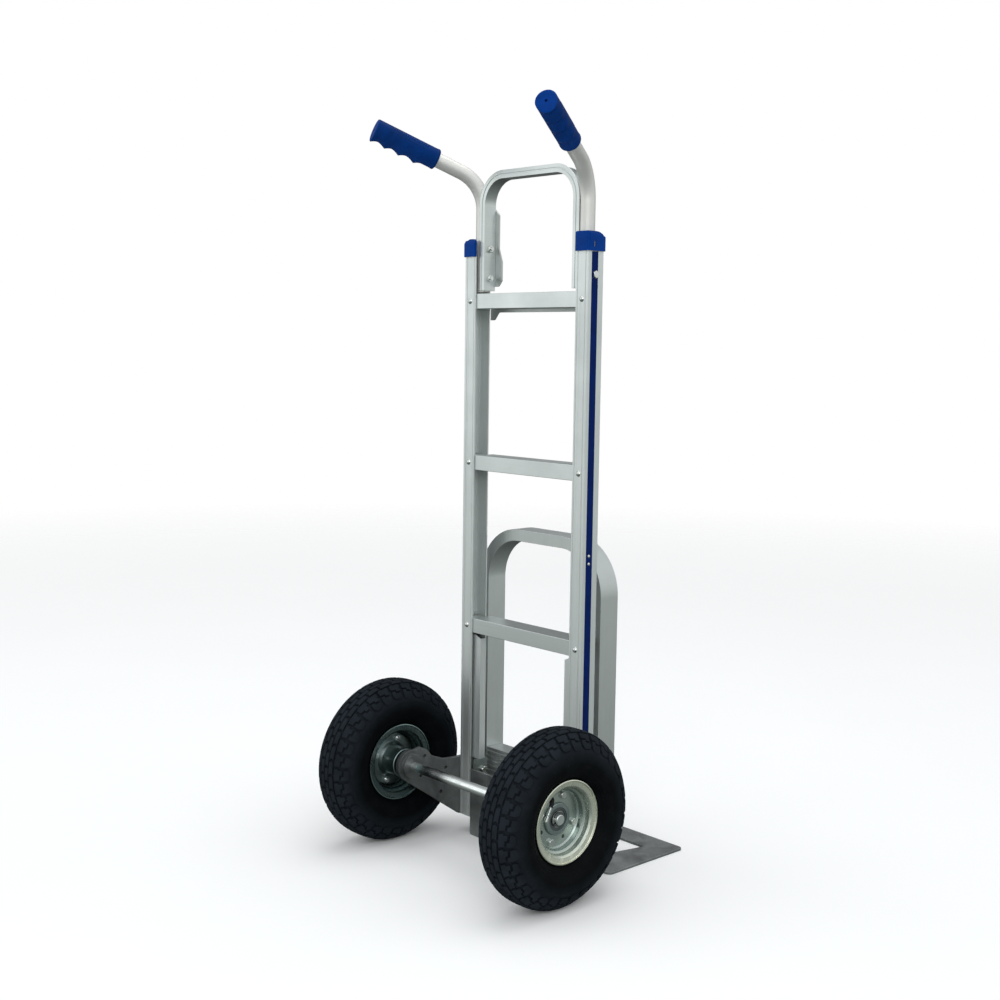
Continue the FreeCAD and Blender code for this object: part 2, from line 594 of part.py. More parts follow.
def make_tube():
    """The handle tube: straight out of the rail, then bent back, up and outward."""
    body = hidden_body("handle_tube_bent")
    radius, turn_by = value("bend_radius"), math.radians(90 - value("rise"))
    reach = radius * math.tan(turn_by / 2)
    foot, corner, rise = value("tube_foot"), value("bend_up"), math.radians(value("rise"))
    end = value(TUBE_RUN)

    def along(distance):
        return FreeCAD.Vector(distance * math.cos(rise), corner + distance * math.sin(rise), 0)
    half = turn_by / 2
    middle = FreeCAD.Vector(radius - radius * math.cos(half),
                            corner - reach + radius * math.sin(half), 0)
    start = FreeCAD.Vector(0, corner - reach, 0)
    runs = [
        Part.LineSegment(FreeCAD.Vector(0, foot, 0), start),
        Part.Arc(start, middle, along(reach)),
        Part.LineSegment(along(reach), along(end)),
    ]
    path = new_sketch(body, "XZ_Plane")
    indexes, _ = tangent_path(path, runs)
    path.addConstraint(Sketcher.Constraint("Vertical", indexes[0]))
    bind(path, "DistanceX", (indexes[0], 1), "0")
    bind(path, "DistanceY", (indexes[0], 1), "tube_foot")
    bind(path, "Radius", (indexes[1],), "bend_radius")
    bind(path, "DistanceX", (indexes[2], 2), TUBE_RUN + " * cos(rise)")
    bind(path, "DistanceY", (indexes[2], 2), "bend_up + %s * sin(rise)" % TUBE_RUN)
    section = new_sketch(body, "XY_Plane", "tube_foot")
    circle(section, "0", "0", "tube_radius")
    circle(section, "0", "0", "tube_radius - tube_wall")
    sweep(body, section, path)
    body.Placement = handle_placement("0")
    holes = [rod("handle_bolt_low", "loop_bolt_low"), rod("handle_bolt_high", "loop_bolt_high")]
    tools = doc.addObject("Part::MultiFuse", "handle_bolt_holes")
    tools.Shapes = holes
    drilled = doc.addObject("Part::Cut", "handle_tube_left")
    drilled.Label = "handle_tube_left"
    drilled.Base = body
    drilled.Tool = tools
    PIECES.append(drilled)
    return drilled


def hidden_body(name):
    """A body that another sub-part is made from."""
    return doc.addObject("PartDesign::Body", name)


def rod(name, up):
    """A cylinder along X, as long as a loop bolt's hole through the tube."""
    cylinder = doc.addObject("Part::Cylinder", name)
    cylinder.setExpression("Radius", cells("bolt_radius + hole_clear"))
    cylinder.setExpression("Height", cells("4 * tube_radius"))
    cylinder.Placement = FreeCAD.Placement(
        FreeCAD.Vector(value("tube_across - 2 * tube_radius"),
                       value(SHIFT + " - loop_bolt_in"), value(up)),
        FreeCAD.Rotation(FreeCAD.Vector(0, 1, 0), 90))
    return cylinder


def handle_placement(along):
    """The handle's own frame: local X runs out over the grip's splay, Z stays up."""
    return FreeCAD.Placement(
        FreeCAD.Vector(value("tube_across"), value(SHIFT + " - tube_in"), value(along)),
        FreeCAD.Rotation(FreeCAD.Vector(0, 0, 1), value("90 - splay")))


SCALLOPS = 4


def make_grip():
    """A moulded grip: local X along the bar, with finger scallops underneath."""
    body = new_body("grip_left")
    end, bore = "grip_length", "tube_radius + hole_clear"
    profile = new_sketch(body, "XY_Plane")
    outline(profile, [("0", bore), ("0", "grip_lip - 1"), ("1", "grip_lip"),
                      ("grip_lip_long", "grip_lip"), ("grip_lip_long + 3", "grip_radius"),
                      (end + " - grip_nose", "grip_radius"),
                      (end + " - 0.3 * grip_nose", "grip_radius - 0.3 * grip_nose", "arc"),
                      (end, "grip_radius - grip_nose"),
                      (end, "grip_hole"), (end + " - grip_wall_end", "grip_hole"),
                      (end + " - grip_wall_end", bore)])
    turn(body, profile)
    scallops = new_sketch(body, "XZ_Plane")
    for i in range(SCALLOPS):
        circle(scallops, "scallop_first + %d * scallop_pitch" % i, "-scallop_drop",
               "scallop_radius")
    cut(body, scallops)
    rise = value("rise")
    tilt = FreeCAD.Rotation(FreeCAD.Vector(0, 1, 0), -rise)
    base = handle_placement("bend_up")
    slide = FreeCAD.Placement(
        FreeCAD.Vector(value("grip_start * cos(rise)"), 0, value("grip_start * sin(rise)")), tilt)
    body.setExpression("Placement.Base.y", None)
    body.Placement = base.multiply(slide)
    return body


def make_loop_fasteners():
    """Bolts along X through strip, rail, tube and loop leg, with nuts inside."""
    seat = "frame_half - recess_deep"
    bolt = hex_bolt(value("bolt_radius"), value("bolt_head"), value("bolt_head_tall"),
                    value(seat + " - loop_inner + bolt_nut_tall + bolt_proud"))
    nut = hex_nut(value("bolt_radius + shank_clear"), value("bolt_head"), value("bolt_nut_tall"))
    bolts, nuts = [], []
    for side in (-1, 1):
        for up in ("loop_bolt_low", "loop_bolt_high"):
            y, z = -value("loop_bolt_in"), value(up)
            bolts.append(put(bolt, side * value(seat), y, z, (side, 0, 0)))
            nuts.append(put(nut, side * value("loop_inner"), y, z, (-side, 0, 0)))
    group("loop_bolts", bolts)
    group("loop_nuts", nuts)


def make_strip_rivets():
    """Two small rivets per side that hold the strip to the rail's web."""
    shape = rivet(value("small_rivet"), value("small_rivet_head"), value("small_rivet_dome"),
                  value("strip_thick + strip_gap + web_thick"), value("small_rivet_tail"))
    face = value("frame_half - recess_deep + strip_gap + strip_thick")
    places = [(side, up) for side in (-1, 1) for up in ("small_rivet_low", "small_rivet_high")]
    group("strip_rivets", [put(shape, side * face, -value("small_rivet_in"), value(up),
                               (side, 0, 0)) for side, up in places])


def make_stiffener():
    """A box section inside the lower part of a rail, cut slanting at its top."""
    body = new_body("lower_stiffener_left")
    section = new_sketch(body, "XY_Plane", "stiff_foot")
    rectangle(section, "stiff_inner", "-stiff_front", "stiff_outer", "-stiff_rear")
    rectangle(section, "stiff_inner + stiff_wall", "stiff_wall - stiff_front",
              "stiff_outer - stiff_wall", "-stiff_rear - stiff_wall")
    pad(body, section, "stiff_top + stiff_slope - stiff_foot")
    wedge = new_sketch(body, "XZ_Plane")
    outline(wedge, [("stiff_inner - 1", "stiff_top"), (RAIL_INNER, "stiff_top + stiff_slope + 1"),
                    ("stiff_inner - 1", "stiff_top + stiff_slope + 1")])
    cut(body, wedge)
    return body


# ---------------------------------------------------------------------- nose

def block(sketch, side, inner, outer, front, rear):
    """Add a rectangle between two distances from the middle, on the left or, for "-", right."""
    low, high = (side + outer, side + inner) if side else (inner, outer)
    rectangle(sketch, low, front, high, rear)


def make_nose_plate():
    """The cast toe with two windows, the heel between the rails, a tongue up each
    rail and the two lugs that the folding extension swings on."""
    body = new_body("nose_plate")
    toe = new_sketch(body, "XY_Plane")
    wing = [("nose_half", "-nose_reach"), ("nose_half", "-wing_rear"),
            ("root_outer", "-wing_rear"), ("root_outer", "-root_rear"),
            ("heel_half", "-root_rear"), ("heel_half", "-nose_rear")]
    outline(toe, wing + flipped(wing))
    pad(body, toe, "nose_thick")
    round_edges(body, "nose_corner", at_corners(2, [
        ("-nose_half", "-nose_reach"), ("nose_half", "-nose_reach")]))
    round_edges(body, "wing_corner", at_corners(2, [
        ("-nose_half", "-wing_rear"), ("nose_half", "-wing_rear")]))
    windows = new_sketch(body, "XY_Plane")
    near = "nose_bar - nose_reach"
    outline(windows, [("window_rib", near), ("window_front_half", near),
                      ("window_rear_half", "-window_rear"), ("window_rib", "-window_rear")])
    outline(windows, [("-window_rib", near), ("-window_rib", "-window_rear"),
                      ("-window_rear_half", "-window_rear"), ("-window_front_half", near)])
    cut(body, windows)
    heel = new_sketch(body, "XZ_Plane", "nose_rear")
    rectangle(heel, "-heel_half", "0", "heel_half", "heel_top")
    pad(body, heel, "heel_thick")
    for side in ("", "-"):
        root = new_sketch(body, "XY_Plane")
        block(root, side, "tongue_inner", "root_outer", "-tongue_front", "-root_rear")
        pad(body, root, "tongue_top")
        tongue = new_sketch(body, "XY_Plane", "rail_foot")
        block(tongue, side, "tongue_inner", "tongue_outer", "-tongue_front", "-tongue_rear")
        pad(body, tongue, "tongue_top - rail_foot")
        lug = new_sketch(body, "YZ_Plane", "lug_inner" if not side else "-lug_outer")
        outline(lug, [("-pivot_in - lug_half", "1"), ("lug_half - pivot_in", "1"),
                      ("lug_half - pivot_in", "pivot_up"),
                      ("-pivot_in", "pivot_up + lug_half", "arc"),
                      ("-pivot_in - lug_half", "pivot_up")])
        pad(body, lug, "lug_outer - lug_inner")
    bores = new_sketch(body, "YZ_Plane")
    circle(bores, "-pivot_in", "pivot_up", "pin_radius + 0.03")
    circle(bores, "-lower_clamp_in", "lower_clamp_up", "clamp_bolt_radius + hole_clear")
    cut(body, bores)
    round_edges(body, "heel_corner", at_corners(1, [("-heel_half", "0"), ("heel_half", "0")]))
    return body


def make_arch():
    """The extension's bent channel, open on its far side, turning on two pins."""
    body = new_body("extension_arch")
    path = arch_path(body, "arch_half - arch_thick / 2", "pivot_up - foot_round",
                     "arch_crown - arch_thick / 2", "arch_round - arch_thick / 2")
    section = new_sketch(body, "XY_Plane", "pivot_up - foot_round")
    outer, inner = "-arch_half", "arch_thick - arch_half"
    rear, front = "-arch_rear", "-arch_rear - arch_deep"
    outline(section, [(outer, rear), (outer, front), (outer + " + arch_wall", front),
                      (outer + " + arch_wall", rear + " - arch_wall"),
                      (inner + " - arch_wall", rear + " - arch_wall"),
                      (inner + " - arch_wall", front), (inner, front), (inner, rear)])
    sweep(body, section, path)
    feet = new_sketch(body, "YZ_Plane")
    low = "pivot_up - foot_round - 1"
    outline(feet, [(front + " - 1", "pivot_up"), (front, "pivot_up"),
                   ("-pivot_in - foot_round * sin(45)", "pivot_up - foot_round * cos(45)", "arc"),
                   ("-pivot_in", "pivot_up - foot_round"), ("-pivot_in", low),
                   (front + " - 1", low)])
    outline(feet, [("0.01 - pivot_in", "pivot_up - foot_round"),
                   ("foot_round * sin(45) - pivot_in", "pivot_up - foot_round * cos(45)", "arc"),
                   ("foot_round - pivot_in", "pivot_up"), (rear, "pivot_up + 6"),
                   (rear + " + 1", "pivot_up + 6"), (rear + " + 1", low),
                   ("0.01 - pivot_in", low)])
    cut(body, feet)
    bore = circle(new_sketch(body, "YZ_Plane"), "-pivot_in", "pivot_up", "pin_radius + pin_clear")
    cut(body, bore)
    return body


RIBS = 10


def make_slat():
    """The ribbed box extrusion across the foot of the folding extension."""
    body = new_body("extension_crosspiece")
    rear, front = "-slat_rear", "-slat_front"
    section = new_sketch(body, "YZ_Plane")
    corners = [(front, "slat_top")]
    corners += [(front, "pivot_up - 9"), ("-pivot_in", "pivot_up - slat_round", "arc"),
                ("slat_round - pivot_in", "pivot_up"), (rear, "pivot_up + slat_round / 2")]
    for i in range(RIBS):
        foot = "rib_first + %d * rib_pitch" % i
        corners += [(rear, foot), (rear + " + rib_proud", foot),
                    (rear + " + rib_proud", foot + " + rib_tall"), (rear, foot + " + rib_tall")]
    corners += [(rear, "slat_top")]
    outline(section, corners)
    rectangle(section, front + " + slat_wall", "pivot_up + slat_solid",
              rear + " - slat_wall", "slat_top - slat_wall")
    pad(body, section, "2 * arch_end", both=True)
    notches = new_sketch(body, "XZ_Plane")
    high = "pivot_up + slat_solid + 0.5"
    rectangle(notches, "slat_half", "0", "arch_end + 1", high)
    rectangle(notches, "-arch_end - 1", "0", "-slat_half", high)
    cut(body, notches)
    bore = circle(new_sketch(body, "YZ_Plane"), "-pivot_in", "pivot_up", "pin_radius + pin_clear")
    cut(body, bore)
    return body


def make_hinge_pins():
    """Two short pins, each fixed in its lug."""
    start, end = value("lug_inner - pin_inward"), value("arch_half + 3 * face_clear")
    head, tall = value("pin_head"), value("pin_head_tall")
    shank = Part.makeCylinder(value("pin_radius"), end - start, FreeCAD.Vector(0, 0, start - end))
    shape = turned([(0, 0), (head, 0), (head - 0.6, tall), (0, tall)]).fuse(shank)
    y, z = -value("pivot_in"), value("pivot_up")
    group("hinge_pins", [put(shape, side * end, y, z, (side, 0, 0)) for side in (-1, 1)])


# --------------------------------------------------------- axle and brackets

# Points (back, up) along the bracket's sloping top, from the axle's boss to the rail.
BRACKET_TOP = [("84", "159"), ("72", "153"), ("60", "140"), ("33", "130"), ("7", "bracket_top")]
# Small cast holes (back, up).
BRACKET_HOLES = [("76", "143"), ("41", "76"), ("31", "115"), ("84", "112")]


def make_axle_bracket():
    """The cast bracket on the rail's outer face that carries the axle behind it."""
    body = new_body("axle_bracket_left")
    centre_y, centre_z = "axle_back", "tyre_radius"
    plate = new_sketch(body, "YZ_Plane", "frame_half")
    outline(plate, [
        ("-bracket_front", "rail_foot + 2"), ("1", "rail_foot"),
        (centre_y + " + bracket_round * sin(bracket_lean)",
         centre_z + " - bracket_round * cos(bracket_lean)"),
        (centre_y + " + bracket_round", centre_z, "arc"),
        (centre_y + " - 8", centre_z + " + 24.2")] + BRACKET_TOP + [
        ("-bracket_front", "bracket_top")])
    pad(body, plate, "bracket_thick")
    round_edges(body, "bracket_soft", at_corners(0, BRACKET_TOP[:3]))
    boss = circle(new_sketch(body, "YZ_Plane", "boss_inner"), centre_y, centre_z, "boss_radius")
    pad(body, boss, "boss_outer - boss_inner")
    holes = new_sketch(body, "YZ_Plane")
    circle(holes, centre_y, centre_z, "bracket_bore")
    for y, z in BRACKET_HOLES:
        circle(holes, y, z, "small_hole")
    circle(holes, "-upper_clamp_in", "upper_clamp_up", "clamp_bolt_radius + hole_clear")
    circle(holes, "-lower_clamp_in", "lower_clamp_up", "clamp_bolt_radius + hole_clear")
    cut(body, holes)
    return body


def make_backing_plate():
    """The plated clamp plate over the channel's mouth, behind the bracket."""
    body = new_body("backing_plate_left")
    sketch = new_sketch(body, "YZ_Plane", "backing_inner")
    rectangle(sketch, "-backing_front", "backing_foot", "-backing_rear", "backing_top")
    pad(body, sketch, "backing_thick")
    round_edges(body, "backing_thick", at_corners(0, [
        ("-backing_front", "backing_foot"), ("-backing_front", "backing_top"),
        ("-backing_rear", "backing_foot"), ("-backing_rear", "backing_top")]))
    holes = new_sketch(body, "YZ_Plane")
    circle(holes, "-upper_clamp_in", "upper_clamp_up", "clamp_bolt_radius + hole_clear")
    rectangle(holes, "-slit_in - slit_wide", "slit_up", "-slit_in", "slit_up + slit_tall")
    cut(body, holes)
    return body


def make_clamp_fasteners():
    """Two bolts per side along X that clamp the axle bracket to the rail."""
    head, tall = value("clamp_head"), value("clamp_head_tall")
    shank = value("clamp_bolt_radius")
    outside = value("frame_half + bracket_thick")
    nut = hex_nut(shank + 0.05, head, value("clamp_nut_tall"))
    seats = [("backing_inner", "upper_clamp_in", "upper_clamp_up"),
             ("tongue_inner", "lower_clamp_in", "lower_clamp_up")]
    bolts, nuts = [], []
    for side in (-1, 1):
        for seat, y, z in seats:
            grip = outside - value(seat) + value("clamp_nut_tall + clamp_proud")
            bolt = hex_bolt(shank, head, tall, grip)
            bolts.append(put(bolt, side * value(seat), -value(y), value(z), (-side, 0, 0)))
            nuts.append(put(nut, side * outside, -value(y), value(z), (side, 0, 0)))
    group("clamp_bolts", bolts)
    group("clamp_nuts", nuts)


def make_axle():
    """The plated axle, with a clip groove and a chamfer at each end."""
    body = new_body("axle")
    sketch = new_sketch(body, "XY_Plane")
    end, r = "axle_end", "axle_radius"
    clip = "track_half + hub_outboard + 1"
    groove_end = clip + " + clip_thick + 2 * face_clear"
    half = [(end, "0"), (end, r + " - 1"), (end + " - 1", r), (groove_end, r),
            (groove_end, r + " - clip_bite"), (clip, r + " - clip_bite"), (clip, r)]
    outline(sketch, half + flipped(half))
    turn(body, sketch)
    body.setExpression("Placement.Base.y", cells(SHIFT + " + axle_back"))
    body.setExpression("Placement.Base.z", cells("tyre_radius"))
    return body


def ring(inner, outer, thick):
    """A flat ring on Z = 0."""
    return Part.makeCylinder(outer, thick).cut(Part.makeCylinder(inner, thick))


def make_axle_washers():
    """Spacing washers inboard of each hub, one washer and a split clip outboard."""
    y, z = value("axle_back"), value("tyre_radius")
    thick, wide = value("washer_thick"), value("clip_gap")
    bore = value("bracket_bore")
    spacer = ring(bore, value("washer_radius"), thick)
    outer = ring(bore, value("washer_radius - clip_bite"), thick - value("face_clear"))
    clip = ring(value("axle_radius - clip_bite + shank_clear"),
                value("axle_radius + clip_proud"), value("clip_thick"))
    mouth = Part.makeBox(wide, value("washer_radius"), 2 * thick,
                         FreeCAD.Vector(-wide / 2, 0, -thick / 2))
    clip = clip.cut(mouth)
    spacers, washers, clips = [], [], []
    for side in (-1, 1):
        for i in range(2):
            at = value("boss_outer + 3 * face_clear") + i * (thick + value("face_clear"))
            spacers.append(put(spacer, side * at, y, z, (side, 0, 0)))
        at = value("track_half + hub_outboard - washer_thick / 2")
        washers.append(put(outer, side * at, y, z, (side, 0, 0)))
        at = value("track_half + hub_outboard + 1 + face_clear")
        clips.append(put(clip, side * at, y, z, (side, 0, 0)))
    group("axle_spacers", spacers)
    group("axle_washers", washers)
    group("axle_clips", clips)


# -------------------------------------------------------------------- wheels

def wheel_body(label):
    """A body in the left wheel's own frame: X out along the axle."""
    body = new_body(label)
    body.setExpression("Placement.Base.x", cells("track_half"))
    body.setExpression("Placement.Base.y", cells(SHIFT + " + axle_back"))
    body.setExpression("Placement.Base.z", cells("tyre_radius"))
    return body


def make_tyre():
    """The tyre's hollow carcass, turned about the axle."""
    body = wheel_body("tyre_left")
    outside = [("23.2", "62.8"), ("tyre_half - 4", "74"), ("tyre_half", "flank_radius", "arc"),
               ("shoulder_half", "shoulder_radius"), ("18", "tyre_radius - 1.6")]
    crown = [("0", "tyre_radius", "arc")]
    inside = [("20", "shoulder_radius - 1"), ("33", "flank_radius + 2", "arc"),
              ("25", "66"), ("15", "61"), ("14.6", "52.2"), ("22", "53")]
    ceiling = [("0", "tyre_radius - tread_thick", "arc")]
    outline(new_sketch(body, "XY_Plane"),
            outside + crown + flipped(outside) + flipped(inside) + ceiling + inside)
    turn(body, body.Group[-1])
    return body


def make_inner_tube():
    """The thin rubber tube, with the valve's hole through its wall."""
    body = wheel_body("inner_tube_left")
    sketch = new_sketch(body, "XY_Plane")
    circle(sketch, "0", "tube_ring_radius", "tube_section")
    circle(sketch, "0", "tube_ring_radius", "tube_section - tube_skin")
    turn(body, sketch)
    hole = circle(new_sketch(body, "XY_Plane"), "0", "0", "tube_hole")
    cut(body, hole, "tyre_radius")
    return body


# The pressed rim beyond its disc, as (out from the wheel's middle, radius): the face
# that shows, from the well to the rolled flange, and the back under the tyre's bead.
RIM_FACE = [("14", "44.8"), ("15.6", "48.4"), ("22.8", "49.3"), ("25.2", "52.4"),
            ("25.9", "59.6"), ("28.2", "60.4")]
RIM_BACK = [("27.8", "62.2"), ("24.2", "61.4"), ("23.1", "53.8"), ("21.6", "51.6"),
            ("13.8", "50.6"), ("12.2", "47")]


def make_outer_rim():
    """The outboard rim half: disc, stepped well and rolled flange."""
    body = wheel_body("rim_outer_left")
    d, w = "disc_out", "disc_out + rim_thick"
    outline(new_sketch(body, "XY_Plane"), [
        (w, "disc_bore"), (w, "disc_edge"), (w + " + rim_thick", "disc_edge + rim_thick")]
        + RIM_FACE + RIM_BACK + [("5.4", "46.4"), (d, "disc_edge + 1.2"), (d, "disc_bore")])
    turn(body, body.Group[-1])
    drill_rim(body)
    window = new_sketch(body, "YZ_Plane")
    circle(window, "valve_back", "valve_up", "valve_foot - 1")
    cut(body, window)
    return body


def drill_rim(body):
    """Four bolt holes and four small holes between them."""
    holes = new_sketch(body, "YZ_Plane")
    for i in range(4):
        angle = "(rim_bolt_turn + %d)" % (90 * i)
        circle(holes, "rim_bolt_circle * cos%s" % angle, "rim_bolt_circle * sin%s" % angle,
               "rim_bolt_radius + hole_clear")
    cut(body, holes)
    small = new_sketch(body, "YZ_Plane")
    for i in (0, 2, 3):
        angle = "(rim_bolt_turn + 45 + %d)" % (90 * i)
        circle(small, "rim_hole_circle * cos%s" % angle, "rim_hole_circle * sin%s" % angle,
               "rim_hole_radius")
    cut(body, small)


def make_inner_rim():
    """The inboard rim half."""
    body = wheel_body("rim_inner_left")
    d, w = "disc_out - shank_clear", "disc_out - rim_thick"
    outline(new_sketch(body, "XY_Plane"), [
        (d, "disc_bore"), (d, "disc_edge + 3.2"), ("-1.2", "46.4")]
        + flipped(RIM_BACK) + flipped(RIM_FACE)
        + [(w + " - rim_thick", "disc_edge + rim_thick"), (w, "disc_edge"), (w, "disc_bore")])
    turn(body, body.Group[-1])
    drill_rim(body)
    return body


def make_hub():
    """The hub barrel with its flange and two bearing seats."""
    body = wheel_body("hub_left")
    start, end = "-hub_inboard", "hub_outboard"
    face = "disc_out - rim_thick - shank_clear"
    seat = "(bearing_wide + bearing_inset)"
    back = face + " - hub_flange_thick"
    outline(new_sketch(body, "XY_Plane"), [
        (start, "hub_bore"), (start, "hub_radius - 1"), (start + " + 1", "hub_radius"),
        (back + " - 6", "hub_radius"), (back, "hub_radius + 5"),
        (back, "hub_flange"), (face, "hub_flange"), (face, "hub_radius"),
        (end + " - 1", "hub_radius"), (end, "hub_radius - 1"), (end, "hub_bore"),
        (end + " - " + seat, "hub_bore"), (end + " - " + seat, "hub_waist"),
        (start + " + " + seat, "hub_waist"), (start + " + " + seat, "hub_bore")])
    turn(body, body.Group[-1])
    holes = new_sketch(body, "YZ_Plane")
    for i in range(4):
        angle = "(rim_bolt_turn + %d)" % (90 * i)
        circle(holes, "rim_bolt_circle * cos%s" % angle, "rim_bolt_circle * sin%s" % angle,
               "rim_bolt_radius + hole_clear")
    cut(body, holes)
    return body


def make_bearings():
    """The hub's two sealed ball bearings, as two rings of the same section."""
    body = wheel_body("bearings_left")
    sketch = new_sketch(body, "XY_Plane")
    starts = ("bearing_inset - hub_inboard", "hub_outboard - bearing_inset - bearing_wide")
    for start in starts:
        end = start + " + bearing_wide"
        low, high = "bearing_bore + race_thick", "bearing_radius - race_thick"
        outline(sketch, [
            (start, "bearing_bore"), (end, "bearing_bore"), (end, low),
            (end + " - seal_sunk", low), (end + " - seal_sunk", high), (end, high),
            (end, "bearing_radius"), (start, "bearing_radius"), (start, high),
            (start + " + seal_sunk", high), (start + " + seal_sunk", low), (start, low)])
    turn(body, sketch)
    return body


def make_rim_fasteners(side, name):
    """Four bolts and four nuts that hold the rim halves to the hub's flange."""
    shank = value("rim_bolt_radius")
    outside = value("track_half + disc_out + rim_thick")
    inside = value("track_half + disc_out - rim_thick - hub_flange_thick - shank_clear")
    head, tall = value("rim_bolt_head"), value("rim_bolt_tall")
    bolt = hex_bolt(shank, head, tall, outside - inside + 1.5 * tall)
    nut = hex_nut(shank + value("shank_clear"), head, tall)
    bolts, nuts = [], []
    for i in range(4):
        angle = math.radians(value("rim_bolt_turn") + 90 * i)
        y = value("axle_back") + value("rim_bolt_circle") * math.cos(angle)
        z = value("tyre_radius") + value("rim_bolt_circle") * math.sin(angle)
        bolts.append(put(bolt, side * outside, y, z, (side, 0, 0)))
        nuts.append(put(nut, side * inside, y, z, (-side, 0, 0)))
    group("rim_bolts_" + name, bolts)
    group("rim_nuts_" + name, nuts)


def make_valve():
    """The bent valve: a rubber foot on the disc's window and a metal stem."""
    body = wheel_body("valve_left")
    foot = circle(new_sketch(body, "YZ_Plane", "disc_out + rim_thick"),
                  "valve_back", "valve_up", "valve_foot")
    pad(body, foot, "valve_tall")
    stem = new_sketch(body, "YZ_Plane", "valve_stem_out")
    outline(stem, [("valve_back - 2.5", "valve_up + 1.5"), ("valve_back + 3", "valve_up + 3.5"),
                   ("valve_end_back + 5.5", "valve_end_up + 2"),
                   ("valve_end_back", "valve_end_up")])
    pad(body, stem, "valve_stem")
    return body


LEFT_PIECES = [
    make_rail, make_strip, make_cap, make_tube, make_grip, make_loop_gusset, make_stiffener,
    make_axle_bracket, make_backing_plate, make_tyre, make_inner_tube, make_outer_rim,
    make_inner_rim, make_hub, make_bearings, make_valve,
]


def build():
    """Make every piece, then the right-hand twins of the left-hand ones."""
    lefts = [make() for make in LEFT_PIECES]
    for up in ("top", "middle", "lower"):
        make_crossbar("crossbar_" + up, up + "_bar_up")
    make_crossbar_rivets()
    make_top_loop()
    make_face_plate()
    make_loop_fasteners()
    make_strip_rivets()
    make_nose_plate()
    make_arch()
    make_slat()
    make_hinge_pins()
    make_clamp_fasteners()
    make_axle()
    make_axle_washers()
    for side, name in ((1, "left"), (-1, "right")):
        make_rim_fasteners(side, name)
    for left in lefts:
        mirrored(left, left.Label.replace("_left", "_right"))
    doc.recompute()


def check():
    """Stop on a failed object, or on a sub-part that is null or not valid."""
    for item in doc.Objects:
        if "Invalid" in item.State or "Error" in item.State:
            raise RuntimeError("%s failed: %s" % (item.Label, item.State))
    for piece in PIECES:
        if piece.Shape.isNull() or not piece.Shape.isValid():
            raise RuntimeError("%s has no valid shape" % piece.Label)


def export():
    """Write each sub-part to its own file."""
    for piece in PIECES:
        piece.Shape.exportStep("parts/%s.step" % piece.Label)
        print("%-24s %2d solid(s) %9.0f mm3" % (
            piece.Label, len(piece.Shape.Solids), piece.Shape.Volume))


build()
check()
export()
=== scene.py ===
"""The looks of a convertible hand truck, built around its CAD frame. Lengths are in metres."""
import math

import bmesh
import bpy
from mathutils import Matrix, Quaternion, Vector


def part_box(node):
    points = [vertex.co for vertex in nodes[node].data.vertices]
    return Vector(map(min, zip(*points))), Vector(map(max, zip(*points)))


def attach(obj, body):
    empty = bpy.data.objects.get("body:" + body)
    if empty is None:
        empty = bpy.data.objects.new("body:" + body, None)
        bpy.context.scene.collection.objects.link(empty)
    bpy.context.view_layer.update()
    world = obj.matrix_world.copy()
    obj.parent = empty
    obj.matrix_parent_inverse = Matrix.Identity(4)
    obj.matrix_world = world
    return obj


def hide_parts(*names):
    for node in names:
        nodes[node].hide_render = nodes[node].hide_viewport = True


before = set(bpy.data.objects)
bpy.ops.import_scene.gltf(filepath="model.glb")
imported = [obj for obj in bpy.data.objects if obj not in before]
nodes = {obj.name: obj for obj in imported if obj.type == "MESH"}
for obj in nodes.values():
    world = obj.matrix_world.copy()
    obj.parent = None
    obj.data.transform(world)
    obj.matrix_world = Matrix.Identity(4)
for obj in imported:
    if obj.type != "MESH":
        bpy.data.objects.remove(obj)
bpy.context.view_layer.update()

MM = 0.001
SIDES = {"left": 1, "right": -1}
scene = bpy.context.scene


def centre_of(name):
    """The middle of a CAD node's box."""
    low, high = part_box(name)
    return (low + high) / 2


# ------------------------------------------------------------------ materials

# samples of the shader node that finds the edges which are worn
WEAR_SAMPLES = 4
# heights between which the floor's grime on aluminium fades away
GRIME_HEIGHTS = (0.02, 0.34)
# how near to the middle of its noise a handling mark is drawn
MARK_WIDTH = 0.006


def find_socket(sockets, identifier):
    """The socket with this identifier, since a Mix node's sockets share their names."""
    return next(socket for socket in sockets if socket.identifier == identifier)


def set_range(map_range, low, high, to_low, to_high):
    """Fill in a Map Range node: from low..high, to to_low..to_high."""
    for socket, number in zip(map_range.inputs[1:5], (low, high, to_low, to_high)):
        socket.default_value = number


